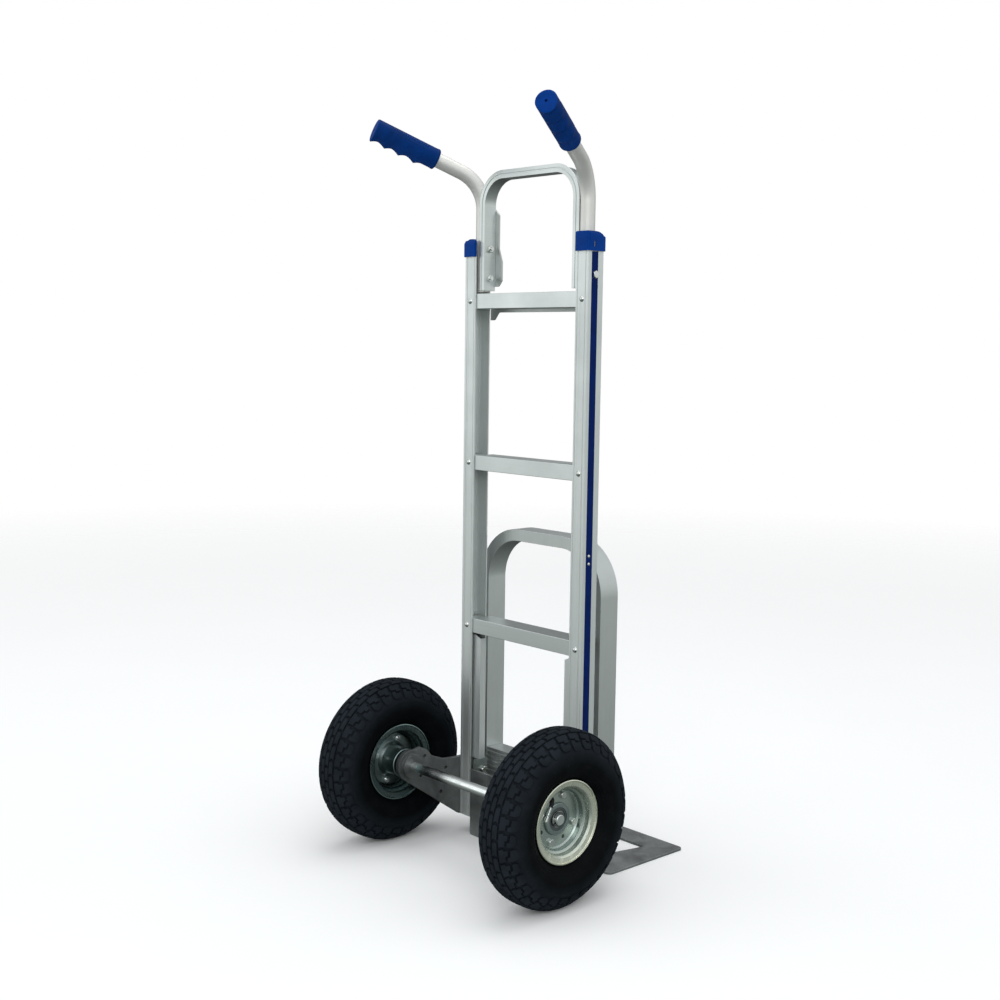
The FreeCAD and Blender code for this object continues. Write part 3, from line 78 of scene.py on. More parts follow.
class Finish:
    """A procedural material, built up on one Principled shader by short calls."""

    def __init__(self, name, **constants):
        self.material = bpy.data.materials.new(name)
        self.material.use_nodes = True
        self.tree = self.material.node_tree
        self.shader = self.tree.nodes["Principled BSDF"]
        self.place = self.tree.nodes.new("ShaderNodeTexCoord").outputs["Object"]
        self.height = None
        for socket, number in constants.items():
            self.shader.inputs[socket.replace("_", " ")].default_value = number

    def add(self, kind, **links):
        """A node whose sockets take other nodes' outputs or plain values."""
        made = self.tree.nodes.new("ShaderNode" + kind)
        for socket, source in links.items():
            self.feed(made.inputs[socket.replace("_", " ")], source)
        return made

    def feed(self, socket, source):
        """Link an output to a socket, or set the socket to a plain value."""
        if isinstance(source, bpy.types.NodeSocket):
            self.tree.links.new(source, socket)
        else:
            socket.default_value = source

    def stretched(self, factors):
        """Object coordinates, stretched by a factor along each axis."""
        mapping = self.add("Mapping", Vector=self.place, Scale=factors)
        return mapping.outputs["Vector"]

    def noise(self, scale, detail=3.0, roughness=0.55, distortion=0.0, stretch=(1, 1, 1)):
        """Noise from 0 to 1, with so many cells to the metre."""
        made = self.add("TexNoise", Vector=self.stretched(stretch), Scale=scale, Detail=detail,
                        Roughness=roughness, Distortion=distortion)
        return made.outputs["Fac"]

    def span(self, source, low, high, to_low, to_high):
        """source from low..high, clamped and taken to to_low..to_high."""
        made = self.add("MapRange", Value=source)
        set_range(made, low, high, to_low, to_high)
        return made.outputs["Result"]

    def sums(self, operation, first, second):
        """One Math node on two numbers."""
        made = self.add("Math")
        made.operation = operation
        self.feed(made.inputs[0], first)
        self.feed(made.inputs[1], second)
        return made.outputs["Value"]

    def mix(self, share, first, second):
        """A colour between two colours."""
        made = self.add("Mix")
        made.data_type = "RGBA"
        for name, source in (("Factor_Float", share), ("A_Color", first), ("B_Color", second)):
            self.feed(find_socket(made.inputs, name), source)
        return find_socket(made.outputs, "Result_Color")

    def axis(self, letter):
        """One of the object coordinates."""
        return self.add("SeparateXYZ", Vector=self.place).outputs[letter]

    def from_axle(self):
        """Distance from the wheels' axis."""
        spoke = self.add("VectorMath", Vector=self.place)
        spoke.operation = "SUBTRACT"
        spoke.inputs[1].default_value = (0, AXLE.y, AXLE.z)
        flat = self.add("Mapping", Vector=spoke.outputs["Vector"], Scale=(0, 1, 1))
        reach = self.add("VectorMath", Vector=flat.outputs["Vector"])
        reach.operation = "LENGTH"
        return reach.outputs["Value"]

    def colour(self, source):
        self.feed(self.shader.inputs["Base Color"], source)

    def rough(self, source):
        self.feed(self.shader.inputs["Roughness"], source)

    def bump(self, source, depth, strength=1.0):
        """Relief of the given depth, over any relief added before it."""
        made = self.add("Bump", Height=source, Distance=depth, Strength=strength)
        if self.height:
            self.tree.links.new(self.height, made.inputs["Normal"])
        self.height = made.outputs["Normal"]
        self.tree.links.new(self.height, self.shader.inputs["Normal"])

    def worn_edges(self, radius, low=0.02, high=0.25):
        """1 on convex and concave edges, 0 on open faces, broken up by noise."""
        bevel = self.tree.nodes.new("ShaderNodeBevel")
        bevel.samples = WEAR_SAMPLES
        bevel.inputs["Radius"].default_value = radius
        flat = self.tree.nodes.new("ShaderNodeNewGeometry").outputs["Normal"]
        dot = self.add("VectorMath")
        dot.operation = "DOT_PRODUCT"
        self.tree.links.new(bevel.outputs["Normal"], dot.inputs[0])
        self.tree.links.new(flat, dot.inputs[1])
        edge = self.sums("SUBTRACT", 1.0, dot.outputs["Value"])
        patchy = self.span(self.noise(140, detail=6), 0.38, 0.62, 0.0, 1.0)
        return self.sums("MULTIPLY", self.span(edge, low, high, 0.0, 1.0), patchy)


def tint(colour, factor):
    """A colour made lighter or darker."""
    return tuple(min(1.0, part * factor) for part in colour[:3]) + (1.0,)


def faded(colour, factor, haze):
    """A colour made darker, under a grey haze."""
    return tuple(factor * part + haze for part in colour) + (1.0,)


def extrusion_stretch(along, across=900.0, lengthwise=7.0):
    """Noise scales that draw streaks along one axis."""
    return tuple(lengthwise if letter == along else across for letter in "XYZ")


def aluminium(name, tone, along="Z", roughness=0.34, streak=0.05, metallic=1.0):
    """Satin aluminium: draw streaks, faint handling marks and grime near the floor."""
    made = Finish(name, Metallic=metallic)
    streaks = made.noise(1.0, detail=4, stretch=extrusion_stretch(along))
    clouds = made.noise(9, detail=5, roughness=0.6)
    marks = made.noise(38, detail=8, roughness=0.7, distortion=5.0)
    ridge = made.sums("ABSOLUTE", made.sums("SUBTRACT", marks, 0.5), 0.0)
    scratch = made.span(ridge, 0.0, MARK_WIDTH, 1.0, 0.0)
    pale = made.mix(made.span(streaks, 0.3, 0.7, 0, 1),
                    tint(tone, 1 - streak), tint(tone, 1 + streak))
    cloudy = made.mix(made.span(clouds, 0.35, 0.7, 0.0, 0.55), pale, tint(tone, 0.86))
    low = made.span(made.axis("Z"), *GRIME_HEIGHTS, 0.3, 0.0)
    grime = made.sums("MULTIPLY", low, made.span(made.noise(22, detail=7), 0.36, 0.66, 0.25, 1.0))
    soiled = made.mix(grime, cloudy, tint(tone, 0.42))
    made.colour(made.mix(made.sums("MULTIPLY", scratch, 0.25), soiled, tint(tone, 0.7)))
    gloss = made.span(streaks, 0.25, 0.75, roughness - 0.05, roughness + 0.07)
    smudged = made.sums("ADD", gloss, made.span(clouds, 0.4, 0.7, -0.02, 0.09))
    made.rough(made.sums("ADD", smudged, made.sums("MULTIPLY", grime, 0.25)))
    made.bump(streaks, 0.025 * MM, 0.6)
    made.bump(made.noise(1400, detail=2), 0.012 * MM, 0.5)
    return made.material


def cast_aluminium(name, tone):
    """Grey sand-cast metal: grainy skin, dark staining, edges rubbed bright."""
    made = Finish(name, Metallic=1.0)
    grain = made.noise(620, detail=5, roughness=0.65)
    stain = made.noise(26, detail=7, roughness=0.62, distortion=0.6)
    body = made.mix(made.span(stain, 0.33, 0.68, 0, 1), tint(tone, 0.66), tint(tone, 1.12))
    speckled = made.mix(made.span(grain, 0.45, 0.7, 0.0, 0.5), body, tint(tone, 0.6))
    worn = made.worn_edges(1.2 * MM)
    made.colour(made.mix(worn, speckled, tint(tone, 1.9)))
    base = made.span(stain, 0.3, 0.7, 0.46, 0.62)
    made.rough(made.sums("SUBTRACT", base, made.sums("MULTIPLY", worn, 0.16)))
    made.bump(grain, 0.12 * MM, 0.55)
    made.bump(made.noise(90, detail=4), 0.4 * MM, 0.25)
    return made.material


def zinc(name, tone, second, share=(0.42, 0.66), roughness=0.3, flange=None):
    """Zinc plating with passivation colour that drifts over the surface. A wheel's rolled
    flange can be given a pale yellowish colour over a darker disc: partly the plating's own tint,
    partly painted highlight on the flange and painted shade in the disc's well."""
    made = Finish(name, Metallic=1.0)
    drift = made.noise(17, detail=4, roughness=0.5, distortion=0.3)
    spangle = made.noise(420, detail=3)
    plated = made.mix(made.span(drift, share[0], share[1], 0, 1), tint(tone, 1), tint(second, 1))
    grainy = made.mix(made.span(spangle, 0.3, 0.7, 0.0, 0.15), plated, tint(tone, 0.72))
    if flange:
        # pale flange over a darker disc: partly plating tint, partly painted highlight and painted
        # shade
        outward = made.span(made.from_axle(), *FLANGE_HIGHLIGHT_FADE, 0.0, 1.0)
        grainy = made.mix(outward, grainy, tint(flange, 1))
    dull = made.span(made.noise(55, detail=7, roughness=0.7), 0.46, 0.72, 0.0, 0.25)
    made.colour(made.mix(dull, grainy, tint(tone, 0.62)))
    made.rough(made.sums("ADD", made.span(spangle, 0.3, 0.7, roughness - 0.02, roughness + 0.03),
                         made.sums("MULTIPLY", dull, 0.18)))
    made.bump(made.noise(70, detail=3), 0.06 * MM, 0.3)
    return made.material


def moulded(name, tone, roughness=0.36, wear=0.5):
    """Moulded plastic: fine texture, faint flow marks, pale scuffed edges."""
    made = Finish(name, Specular_IOR_Level=0.05)
    flow = made.noise(30, detail=4, distortion=1.5)
    fine = made.noise(1900, detail=2)
    body = made.mix(made.span(flow, 0.3, 0.7, 0, 1), tint(tone, 0.82), tint(tone, 1.16))
    dust = made.span(made.noise(75, detail=8, roughness=0.72), 0.56, 0.82, 0.0, 0.06)
    dusty = made.mix(dust, body, faded(tone, 0.7, 0.05))
    worn = made.worn_edges(0.7 * MM)
    made.colour(made.mix(made.sums("MULTIPLY", worn, wear), dusty, faded(tone, 0.8, 0.035)))
    gloss = made.span(flow, 0.3, 0.7, roughness - 0.05, roughness + 0.07)
    made.rough(made.sums("ADD", gloss, dust))
    made.bump(fine, 0.03 * MM, 0.5)
    made.bump(flow, 0.2 * MM, 0.2)
    return made.material


def rubber(name, tone, roughness=0.62, dusty=0.1, specular=0.1, sheen=0.02, tread=None):
    """Black rubber: matt moulded skin, bluish bloom in broad patches, dust in the pores. A
    tyre's tread band can be given a lighter bluish colour, which is painted sky reflection."""
    made = Finish(name, Specular_IOR_Level=specular, Sheen_Weight=sheen, Sheen_Roughness=0.45,
                  Sheen_Tint=(0.62, 0.7, 0.86, 1.0))
    bloom = made.noise(24, detail=6, roughness=0.6)
    pores = made.noise(700, detail=4, roughness=0.7)
    body = made.mix(made.span(bloom, 0.32, 0.7, 0, 1), tint(tone, 0.7), tint(tone, 1.5))
    if tread:
        # lighter bluish tread band: painted sky reflection
        tread_reflection = made.mix(made.span(bloom, 0.32, 0.7, 0, 1),
                           tint(tread, 0.75), tint(tread, 1.3))
        body = made.mix(made.span(made.from_axle(), *TREAD_REFLECTION_FADE, 0.0, 1.0), body, tread_reflection)
    dust = made.sums("MULTIPLY", made.span(pores, 0.5, 0.74, 0.0, 1.0),
                     made.span(made.noise(48, detail=7), 0.45, 0.7, 0.0, dusty))
    made.colour(made.mix(dust, body, DUST))
    made.rough(made.span(bloom, 0.3, 0.72, roughness - 0.1, roughness + 0.12))
    made.bump(pores, 0.08 * MM, 0.5)
    made.bump(made.noise(160, detail=3), 0.15 * MM, 0.25)
    return made.material


def steel(name, tone, roughness=0.2):
    """Turned or rolled bright steel with fine tool marks."""
    made = Finish(name, Metallic=1.0)
    marks = made.noise(1.0, detail=5, stretch=(60, 1500, 1500))
    cloud = made.noise(60, detail=5)
    body = made.mix(made.span(marks, 0.3, 0.7, 0, 1), tint(tone, 0.88), tint(tone, 1.08))
    made.colour(made.mix(made.span(cloud, 0.5, 0.78, 0.0, 0.3), body, tint(tone, 0.6)))
    made.rough(made.span(cloud, 0.3, 0.7, roughness - 0.04, roughness + 0.05))
    made.bump(marks, 0.02 * MM, 0.5)
    return made.material


AXLE = centre_of("axle")
DUST = (0.10, 0.10, 0.10, 1.0)
# radii between which a rim's darker disc gives way to its pale flange: partly the plating's tint,
# partly painted shade in the well and painted highlight on the flange
FLANGE_HIGHLIGHT_FADE = (46 * MM, 55 * MM)
# radii over which a tyre's black sidewall gives way to the tread band's painted sky reflection
TREAD_REFLECTION_FADE = (88 * MM, 119 * MM)

ANODISED = (0.70, 0.735, 0.725)
PALE_SATIN = (0.80, 0.79, 0.755)
ROYAL_BLUE = (0.0, 0.034, 0.21)
GRIP_BLUE = (0.0, 0.024, 0.135)
NAVY = (0.0, 0.010, 0.085)

looks = {
    "rail": aluminium("satin_aluminium_upright", ANODISED, "Z", roughness=0.42, metallic=0.84),
    "bar": aluminium("satin_aluminium_level", ANODISED, "X"),
    "loop": aluminium("satin_aluminium_bent", tint(ANODISED, 0.94)[:3], "Y", roughness=0.3),
    "tube": aluminium("pale_satin_tube", PALE_SATIN, "Z", roughness=0.48, streak=0.02,
                      metallic=0.75),
    "arch": aluminium("extension_aluminium", tint(ANODISED, 0.9)[:3], "Z", roughness=0.4),
    "plate": aluminium("sheet_aluminium", tint(ANODISED, 0.8)[:3], "X", roughness=0.42),
    "cast": cast_aluminium("cast_aluminium_grain", (0.27, 0.28, 0.28)),
    "nose": cast_aluminium("cast_nose_grain", (0.33, 0.34, 0.34)),
    # rim flange colour: partly yellow plating, partly painted highlight; disc tone partly painted
    # shade
    "rim_outer": zinc("zinc_yellow_drift", (0.40, 0.47, 0.45), (0.48, 0.53, 0.49),
                      roughness=0.27, flange=(0.86, 0.87, 0.73)),
    "rim_inner": zinc("zinc_blue_drift", (0.20, 0.28, 0.28), (0.32, 0.40, 0.38), roughness=0.24),
    "hub": zinc("zinc_hub", (0.24, 0.31, 0.31), (0.36, 0.42, 0.41)),
    "fastener": zinc("zinc_fastener", (0.68, 0.71, 0.71), (0.66, 0.67, 0.62), roughness=0.16),
    "bracket_zinc": zinc("zinc_bracket", (0.46, 0.56, 0.55), (0.64, 0.68, 0.66)),
    "axle": steel("bright_axle_steel", (0.80, 0.83, 0.82)),
    "blue": moulded("royal_blue_plastic", ROYAL_BLUE),
    "grip": moulded("royal_blue_grip", GRIP_BLUE, roughness=0.45),
    "strip": moulded("navy_strip_plastic", NAVY, roughness=0.42, wear=0.2),
    # tread colour: painted sky reflection on the tyre's tread band
    "tyre": rubber("tyre_rubber_matt", (0.0016, 0.0024, 0.003), specular=0.05, sheen=0.0,
                   tread=(0.0110, 0.0147, 0.0195)),
    "valve": rubber("valve_rubber_matt", (0.014, 0.014, 0.015), roughness=0.5, dusty=0.05),
    "bearing": steel("bearing_steel", (0.16, 0.18, 0.18), roughness=0.32),
}


# ---------------------------------------------------- the CAD nodes' own looks

def smooth_group(degrees):
    """A geometry node group that drops stored normals and sets sharp edges by angle."""
    group = bpy.data.node_groups.new("smooth_by_angle", "GeometryNodeTree")
    for way in ("INPUT", "OUTPUT"):
        group.interface.new_socket("Geometry", in_out=way, socket_type="NodeSocketGeometry")
    start = group.nodes.new("NodeGroupInput")
    end = group.nodes.new("NodeGroupOutput")
    angle = group.nodes.new("GeometryNodeInputMeshEdgeAngle")
    sharp = group.nodes.new("FunctionNodeCompare")
    sharp.operation = "GREATER_THAN"
    sharp.inputs["B"].default_value = math.radians(degrees)
    normal = group.nodes.new("GeometryNodeSetMeshNormal")
    normal.mode = "SHARPNESS"
    normal.inputs["Remove Custom"].default_value = True
    normal.inputs["Face Sharpness"].default_value = False
    group.links.new(start.outputs[0], normal.inputs["Mesh"])
    group.links.new(angle.outputs["Unsigned Angle"], sharp.inputs["A"])
    group.links.new(sharp.outputs["Result"], normal.inputs["Edge Sharpness"])
    group.links.new(normal.outputs["Mesh"], end.inputs[0])
    return group


# edges that turn by more than these degrees shade sharp, are eased, and aren't dissolved
SHARP_OVER = 32
EASED_OVER = 34
DISSOLVED_UNDER = 0.3
SMOOTH = smooth_group(SHARP_OVER)
WELD_REACH = 0.002 * MM


def refine(node, width, segments=2):
    """Eased edges and clean shading on a CAD node, by modifiers only."""
    weld = node.modifiers.new("weld", "WELD")
    weld.merge_threshold = WELD_REACH
    flat = node.modifiers.new("flat_faces", "DECIMATE")
    flat.decimate_type = "DISSOLVE"
    flat.angle_limit = math.radians(DISSOLVED_UNDER)
    if width:
        ease = node.modifiers.new("eased_edges", "BEVEL")
        ease.width = width
        ease.segments = segments
        ease.limit_method = "ANGLE"
        ease.angle_limit = math.radians(EASED_OVER)
        ease.use_clamp_overlap = False
    shade = node.modifiers.new("shade", "NODES")
    shade.node_group = SMOOTH
    weigh = node.modifiers.new("even_normals", "WEIGHTED_NORMAL")
    weigh.keep_sharp = True


# a node's name without its side: its look, and its edges' easing in millimetres
CAD_LOOKS = {
    "rail": ("rail", 0.45), "side_strip": ("strip", 0.25), "rail_cap": ("blue", 0.6),
    "handle_tube": ("tube", 0.20), "loop_gusset": ("plate", 0.40),
    "lower_stiffener": ("rail", 0.35), "axle_bracket": ("cast", 0.50),
    "backing_plate": ("bracket_zinc", 0.40), "crossbar_top": ("bar", 0.8),
    "crossbar_middle": ("bar", 0.8), "crossbar_lower": ("bar", 0.8),
    "crossbar_rivets": ("fastener", 0.12), "strip_rivets": ("fastener", 0.10),
    "top_loop": ("loop", 0.40), "top_face_plate": ("plate", 0.40),
    "loop_bolts": ("fastener", 0.20), "loop_nuts": ("fastener", 0.25),
    "nose_plate": ("nose", 0.70), "hinge_pins": ("fastener", 0.25),
    "clamp_bolts": ("fastener", 0.25), "clamp_nuts": ("fastener", 0.25), "axle": ("axle", 0.40),
    "axle_spacers": ("axle", 0.30), "axle_washers": ("fastener", 0.20),
    "axle_clips": ("bearing", 0.15), "extension_arch": ("arch", 0.60),
    "extension_crosspiece": ("arch", 0.35), "inner_tube": ("tyre", 0),
    "rim_outer": ("rim_outer", 0.35), "rim_inner": ("rim_inner", 0.35), "hub": ("hub", 0.40),
    "bearings": ("bearing", 0.20), "rim_bolts": ("fastener", 0.25),
    "rim_nuts": ("fastener", 0.25), "tyre": ("tyre", 0), "grip": ("grip", 0.4),
    "valve": ("valve", 0.2),
}


def dress_cad_nodes():
    """A look and eased edges for every CAD node."""
    for name, node in nodes.items():
        kind = name.removesuffix("_left").removesuffix("_right")
        look, easing = CAD_LOOKS[kind]
        node.data.materials.clear()
        node.data.materials.append(looks[look])
        refine(node, easing * MM)


dress_cad_nodes()


# ------------------------------------------------------------ pieces of our own

def add_piece(name, bm, wearing, body, stands_for=(), sharp_degrees=38):
    """Turn a finished bmesh, wearing one look or more, into an object that rides on a body."""
    for face in bm.faces:
        face.smooth = True
    for edge in bm.edges:
        edge.smooth = edge.calc_face_angle(0) < math.radians(sharp_degrees)
    mesh = bpy.data.meshes.new(name)
    bm.to_mesh(mesh)
    bm.free()
    for look in wearing:
        mesh.materials.append(looks[look])
    piece = bpy.data.objects.new(name, mesh)
    scene.collection.objects.link(piece)
    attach(piece, body)
    if stands_for:
        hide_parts(*stands_for)
    return piece


def smooth_line(points, steps):
    """A Catmull-Rom line through the points, with so many steps from each to the next."""
    ends = [2 * points[0] - points[1], *points, 2 * points[-1] - points[-2]]
    line = []
    for before, start, end, after in zip(ends, ends[1:], ends[2:], ends[3:]):
        for step in range(steps):
            share = step / steps
            line.append(0.5 * (2 * start + (end - before) * share
                               + (2 * before - 5 * start + 4 * end - after) * share ** 2
                               + (3 * start - before - 3 * end + after) * share ** 3))
    return line + [points[-1]]


def skin_rings(bm, rings, close_ends=False, close_round=False):
    """Quads between rings of vertices; the last ring may join the first."""
    pairs = list(zip(rings, rings[1:]))
    if close_round:
        pairs.append((rings[-1], rings[0]))
    for one, two in pairs:
        count = len(one)
        for i in range(count):
            bm.faces.new((one[i], one[(i + 1) % count], two[(i + 1) % count], two[i]))
    if close_ends:
        bm.faces.new(reversed(rings[0]))
        bm.faces.new(rings[-1])


# ---------------------------------------------------------------------- tyres

TYRE_PITCHES = 34
TREAD_DEPTH = 3.8 * MM
# how far the blocks reach down into the carcass
TREAD_SUNK = 0.6 * MM
TREAD_END = 50 * MM
# where the grooves begin to run out, and over what length, as shares of TREAD_END
GROOVE_RUNOUT = (0.78, 0.3)
BLOCK_EASE = 0.55 * MM
# the largest faces of a block, round the tyre and across it
BLOCK_GRID = (5 * MM, 2.5 * MM)
AROUND = 240
OUTLINE_STEPS = 7
# every second shoulder lug is shorter: where that starts, and by how much
SHORT_FROM = 44 * MM
SHORTER = 4 * MM

# half of the tyre's section in millimetres, from the crown to the bead: across, radius
TYRE_SECTION = [(0, 132.5), (10, 132.3), (17.5, 130.7), (24.5, 124.9), (31, 118.2), (36.4, 108.8),
                (39.4, 98), (39.8, 89), (38, 80), (34, 72), (29.4, 67), (26.2, 64.4), (23.4, 62.8)]
# thin raised rings on the sidewall: radius, height, half width
SIDEWALL_RINGS = [(106.5, 0.5, 0.7), (102.5, 0.35, 0.6), (74.5, 0.5, 0.9), (70.5, 0.4, 0.7)]
# the hollow's section, from the bead to its crown
TYRE_INSIDE = [(22.6, 52.6), (14.6, 52.2), (15, 61), (25, 66), (33, 94), (27, 113), (12, 121.5)]
TYRE_INSIDE_CROWN = (0, 123)

# one pitch of the tread: shift round the tyre in pitches, and the block's outline, as
# shares of a pitch round the tyre and millimetres from the middle line
TREAD_BLOCKS = [
    (0.00, [(0.05, 1.2), (0.87, 1.2), (0.95, 4.8), (0.86, 8.4), (0.02, 8.4), (0.12, 4.8)]),
    (0.50, [(0.02, 10.6), (0.84, 10.6), (0.93, 14.6), (0.86, 18.8), (0.04, 18.8), (0.12, 14.6)]),
    (0.08, [(0.05, 21.0), (0.87, 21.0), (0.92, 27.4), (0.80, 28.0), (0.80, 34.4), (0.46, 34.0),
            (0.44, 30.4), (0.08, 29.8)]),
    (0.00, [(0.12, 32.4), (0.41, 32.8), (0.44, 36.8), (0.84, 37.2), (0.90, 40.0), (0.88, 46.6),
            (0.78, 50.4), (0.26, 50.8), (0.13, 47.4), (0.09, 40.0)]),
]


def tyre_outline():
    """The outer section as (arc length, point, outward normal), from crown to bead."""
    line = smooth_line([Vector(point) * MM for point in TYRE_SECTION], OUTLINE_STEPS)
    outline, length = [], 0.0
    for i, point in enumerate(line):
        before, after = line[max(i - 1, 0)], line[min(i + 1, len(line) - 1)]
        run = (after - before).normalized()
        if i:
            length += (point - line[i - 1]).length
        outline.append((length, point, Vector((-run.y, run.x))))
    return outline


OUTLINE = tyre_outline()


def outline_at(across):
    """Point and outward normal of the section at a signed arc length from the crown."""
    distance = abs(across)
    for (low, start, normal), (high, end, next_normal) in zip(OUTLINE, OUTLINE[1:]):
        if distance <= high:
            share = (distance - low) / (high - low)
            point, out = start.lerp(end, share), normal.lerp(next_normal, share).normalized()
            break
    else:
        _, point, out = OUTLINE[-1]
    sign = -1 if across < 0 else 1
    return Vector((sign * point.x, point.y)), Vector((sign * out.x, out.y))


def groove_depth(across):
    """How far the carcass lies under the blocks' tops: full on the tread, none on the sidewall."""
    start, length = GROOVE_RUNOUT
    share = min(1.0, max(0.0, (abs(across) - start * TREAD_END) / (length * TREAD_END)))
    return TREAD_DEPTH * (1 - share * share * (3 - 2 * share))


def ring_height(radius):
    """How far the sidewall's raised rings stand proud at a radius."""
    return sum(tall * MM * max(0.0, 1 - ((radius / MM - place) / half) ** 2)
               for place, tall, half in SIDEWALL_RINGS)


def round_axle(across, radius, turn):
    """A point at a radius from the axle, turned round it."""
    return Vector((across, radius * math.cos(turn), radius * math.sin(turn)))


def carcass(bm):
    """The tyre's body, turned about the axle, with its hollow."""
    half = []
    for distance, point, out in OUTLINE:
        lift = ring_height(point.y) - groove_depth(distance)
        half.append(point + out * lift)
    inside = [Vector(point) * MM for point in TYRE_INSIDE]
    right = half[1:] + inside
    left = [Vector((-point.x, point.y)) for point in reversed(right)]
    section = [half[0]] + right + [Vector(TYRE_INSIDE_CROWN) * MM] + left
    rings = []
    for point in section:
        rings.append([bm.verts.new(round_axle(point.x, point.y, math.tau * i / AROUND))
                      for i in range(AROUND)])
    skin_rings(bm, rings, close_round=True)


def flat_block(shape):
    """One block as an eased prism in flat coordinates: along the tread, across it, and up
    from 0 to the tread's depth."""
    bm = bmesh.new()
    face = bm.faces.new([bm.verts.new((along, across, 0)) for along, across in shape])
    raised = bmesh.ops.extrude_face_region(bm, geom=[face])
    top = [item for item in raised["geom"] if isinstance(item, bmesh.types.BMVert)]
    bmesh.ops.translate(bm, verts=top, vec=(0, 0, TREAD_DEPTH - BLOCK_EASE))
    cover = [item for item in raised["geom"] if isinstance(item, bmesh.types.BMFace)]
    bmesh.ops.recalc_face_normals(bm, faces=bm.faces)
    bmesh.ops.inset_region(bm, faces=cover, thickness=BLOCK_EASE, depth=0)
    inner = {vert for face in cover for vert in face.verts}
    bmesh.ops.translate(bm, verts=list(inner), vec=(0, 0, BLOCK_EASE))
    for axis, step in enumerate(BLOCK_GRID):
        values = [vert.co[axis] for vert in bm.verts]
        place = math.ceil(min(values) / step) * step
        while place < max(values):
            normal = Vector((0, 0, 0))
            normal[axis] = 1
            spot = Vector((0, 0, 0))
            spot[axis] = place
            bmesh.ops.bisect_plane(bm, geom=bm.verts[:] + bm.edges[:] + bm.faces[:],
                                   plane_co=spot, plane_no=normal)
            place += step
    return bm


def tread(bm):
    """Blocks all round, those of the other half shifted by half a pitch."""
    pitch = math.tau * TYRE_SECTION[0][1] * MM / TYRE_PITCHES
    for shift, shape in TREAD_BLOCKS:
        flat = flat_block([(share * pitch, across * MM) for share, across in shape])
        for side in (1, -1):
            for number in range(TYRE_PITCHES):
                start = number + shift + (0.5 if side < 0 else 0)
                verts = {}
                for vert in flat.verts:
                    across = vert.co.y
                    if number % 2 and across > SHORT_FROM:
                        across -= SHORTER
                    point, out = outline_at(side * across)
                    under = groove_depth(across) + TREAD_SUNK
                    place = point - out * under * (1 - vert.co.z / TREAD_DEPTH)
                    turn = math.tau * (start + vert.co.x / pitch) / TYRE_PITCHES
                    verts[vert] = bm.verts.new(round_axle(place.x, place.y, turn))
                for face in flat.faces:
                    loop = [verts[vert] for vert in face.verts]
                    bm.faces.new(loop if side > 0 else loop[::-1])
        flat.free()


def make_tyre(side):
    """A tyre with its tread, in place of the CAD model's plain one."""
    bm = bmesh.new()
    carcass(bm)
    tread(bm)
    bmesh.ops.recalc_face_normals(bm, faces=bm.faces)
    bmesh.ops.transform(bm, matrix=Matrix.Translation(centre_of("tyre_" + side)), verts=bm.verts)
    add_piece("treaded_tyre_" + side, bm, ["tyre"], "wheel_" + side,
              ["tyre_" + side])


# ---------------------------------------------------------------------- grips

GRIP_SPLAY = math.radians(24.7)
GRIP_RISE = math.radians(22.9)
GRIP_LENGTH = 108.7 * MM
GRIP_RADIUS = 16.2 * MM
GRIP_BORE = 11.8 * MM
GRIP_STEPS = 150
GRIP_ROUND = 64
FINGER_RIDGES = (1.5, 26.0, 50.0, 76.5)
RIDGE_TALL = 5.0 * MM
RIDGE_STEEP = 12.5 * MM
RIDGE_GENTLE = 14.0 * MM
# how a ridge rises to its top, and how it fades round the grip from the underside
RIDGE_POWER = 1.7
UNDER_POWER = 2.4
# how far each grip has been turned on its bar, outward from straight down
GRIP_TURN = {"left": 0.0, "right": math.radians(26)}
END_ROUND = 2.2 * MM
# the thin lip at the grip's inner end: height, place from that end, half width
INNER_LIP = (0.5 * MM, 3.0 * MM, 3.4 * MM)
INNER_ROUND = 1.2 * MM
# the small hole in the outer end, which lies off the middle
HOLE_SHIFT = 1.4 * MM
HOLE_RADIUS = 1.9 * MM
# from the hole's floor to its rim: depth, radius
HOLE_RINGS = ((4.5 * MM, HOLE_RADIUS * 0.6), (1.0 * MM, HOLE_RADIUS),
              (0.35 * MM, HOLE_RADIUS + 0.5 * MM))
END_DISH = 0.35 * MM
END_SHARES = (0.45, 0.7, 0.9, 1.0)
# above 1, this draws the rings together at the outer end
RING_CROWDING = 1.15
BORE_END = 5.0 * MM
# how near to the CAD grip's outermost point its end's vertices are
END_REACH = 0.2 * MM

# the small raised bars: the rows' places round the grip from straight down, how many there
# are to a row, and in millimetres where they start, their spacing and every other row's shift
KNURL_TURNS = (-138, -116, 116, 138)
KNURL_COUNT = 16
KNURL_START, KNURL_SPACING, KNURL_SHIFT = 26, 3.9, 1.3
# a bar's foot, shoulder and top: height, half length along the grip, half width round it
KNURL_RINGS = ((-0.4, 1.45, 3.1), (0.25, 1.45, 3.1), (0.55, 0.95, 2.6))


def ridge_height(from_end):
    """How far the underside stands proud at a distance from the grip's outer end."""
    tall = 0.0
    for place in FINGER_RIDGES:
        gap = from_end - place * MM
        reach = RIDGE_GENTLE if gap < 0 else RIDGE_STEEP
        share = max(0.0, 1 - abs(gap) / reach)
        tall = max(tall, share ** RIDGE_POWER)
    return RIDGE_TALL * tall


def under_share(turn):
    """1 straight down, fading to 0 at the grip's sides."""
    return max(0.0, math.cos(turn)) ** UNDER_POWER


def grip_radius(from_end, turn):
    """Outer radius at a distance from the outer end, turn measured from straight down."""
    inner = GRIP_LENGTH - from_end
    tall, place, half = INNER_LIP
    lip = tall * max(0.0, 1 - abs(inner - place) / half)
    rounding = 0.0
    if from_end < END_ROUND:
        rounding = END_ROUND - math.sqrt(END_ROUND ** 2 - (END_ROUND - from_end) ** 2)
    if inner < INNER_ROUND:
        rounding = INNER_ROUND - inner
    return GRIP_RADIUS + lip + ridge_height(from_end) * under_share(turn) - rounding


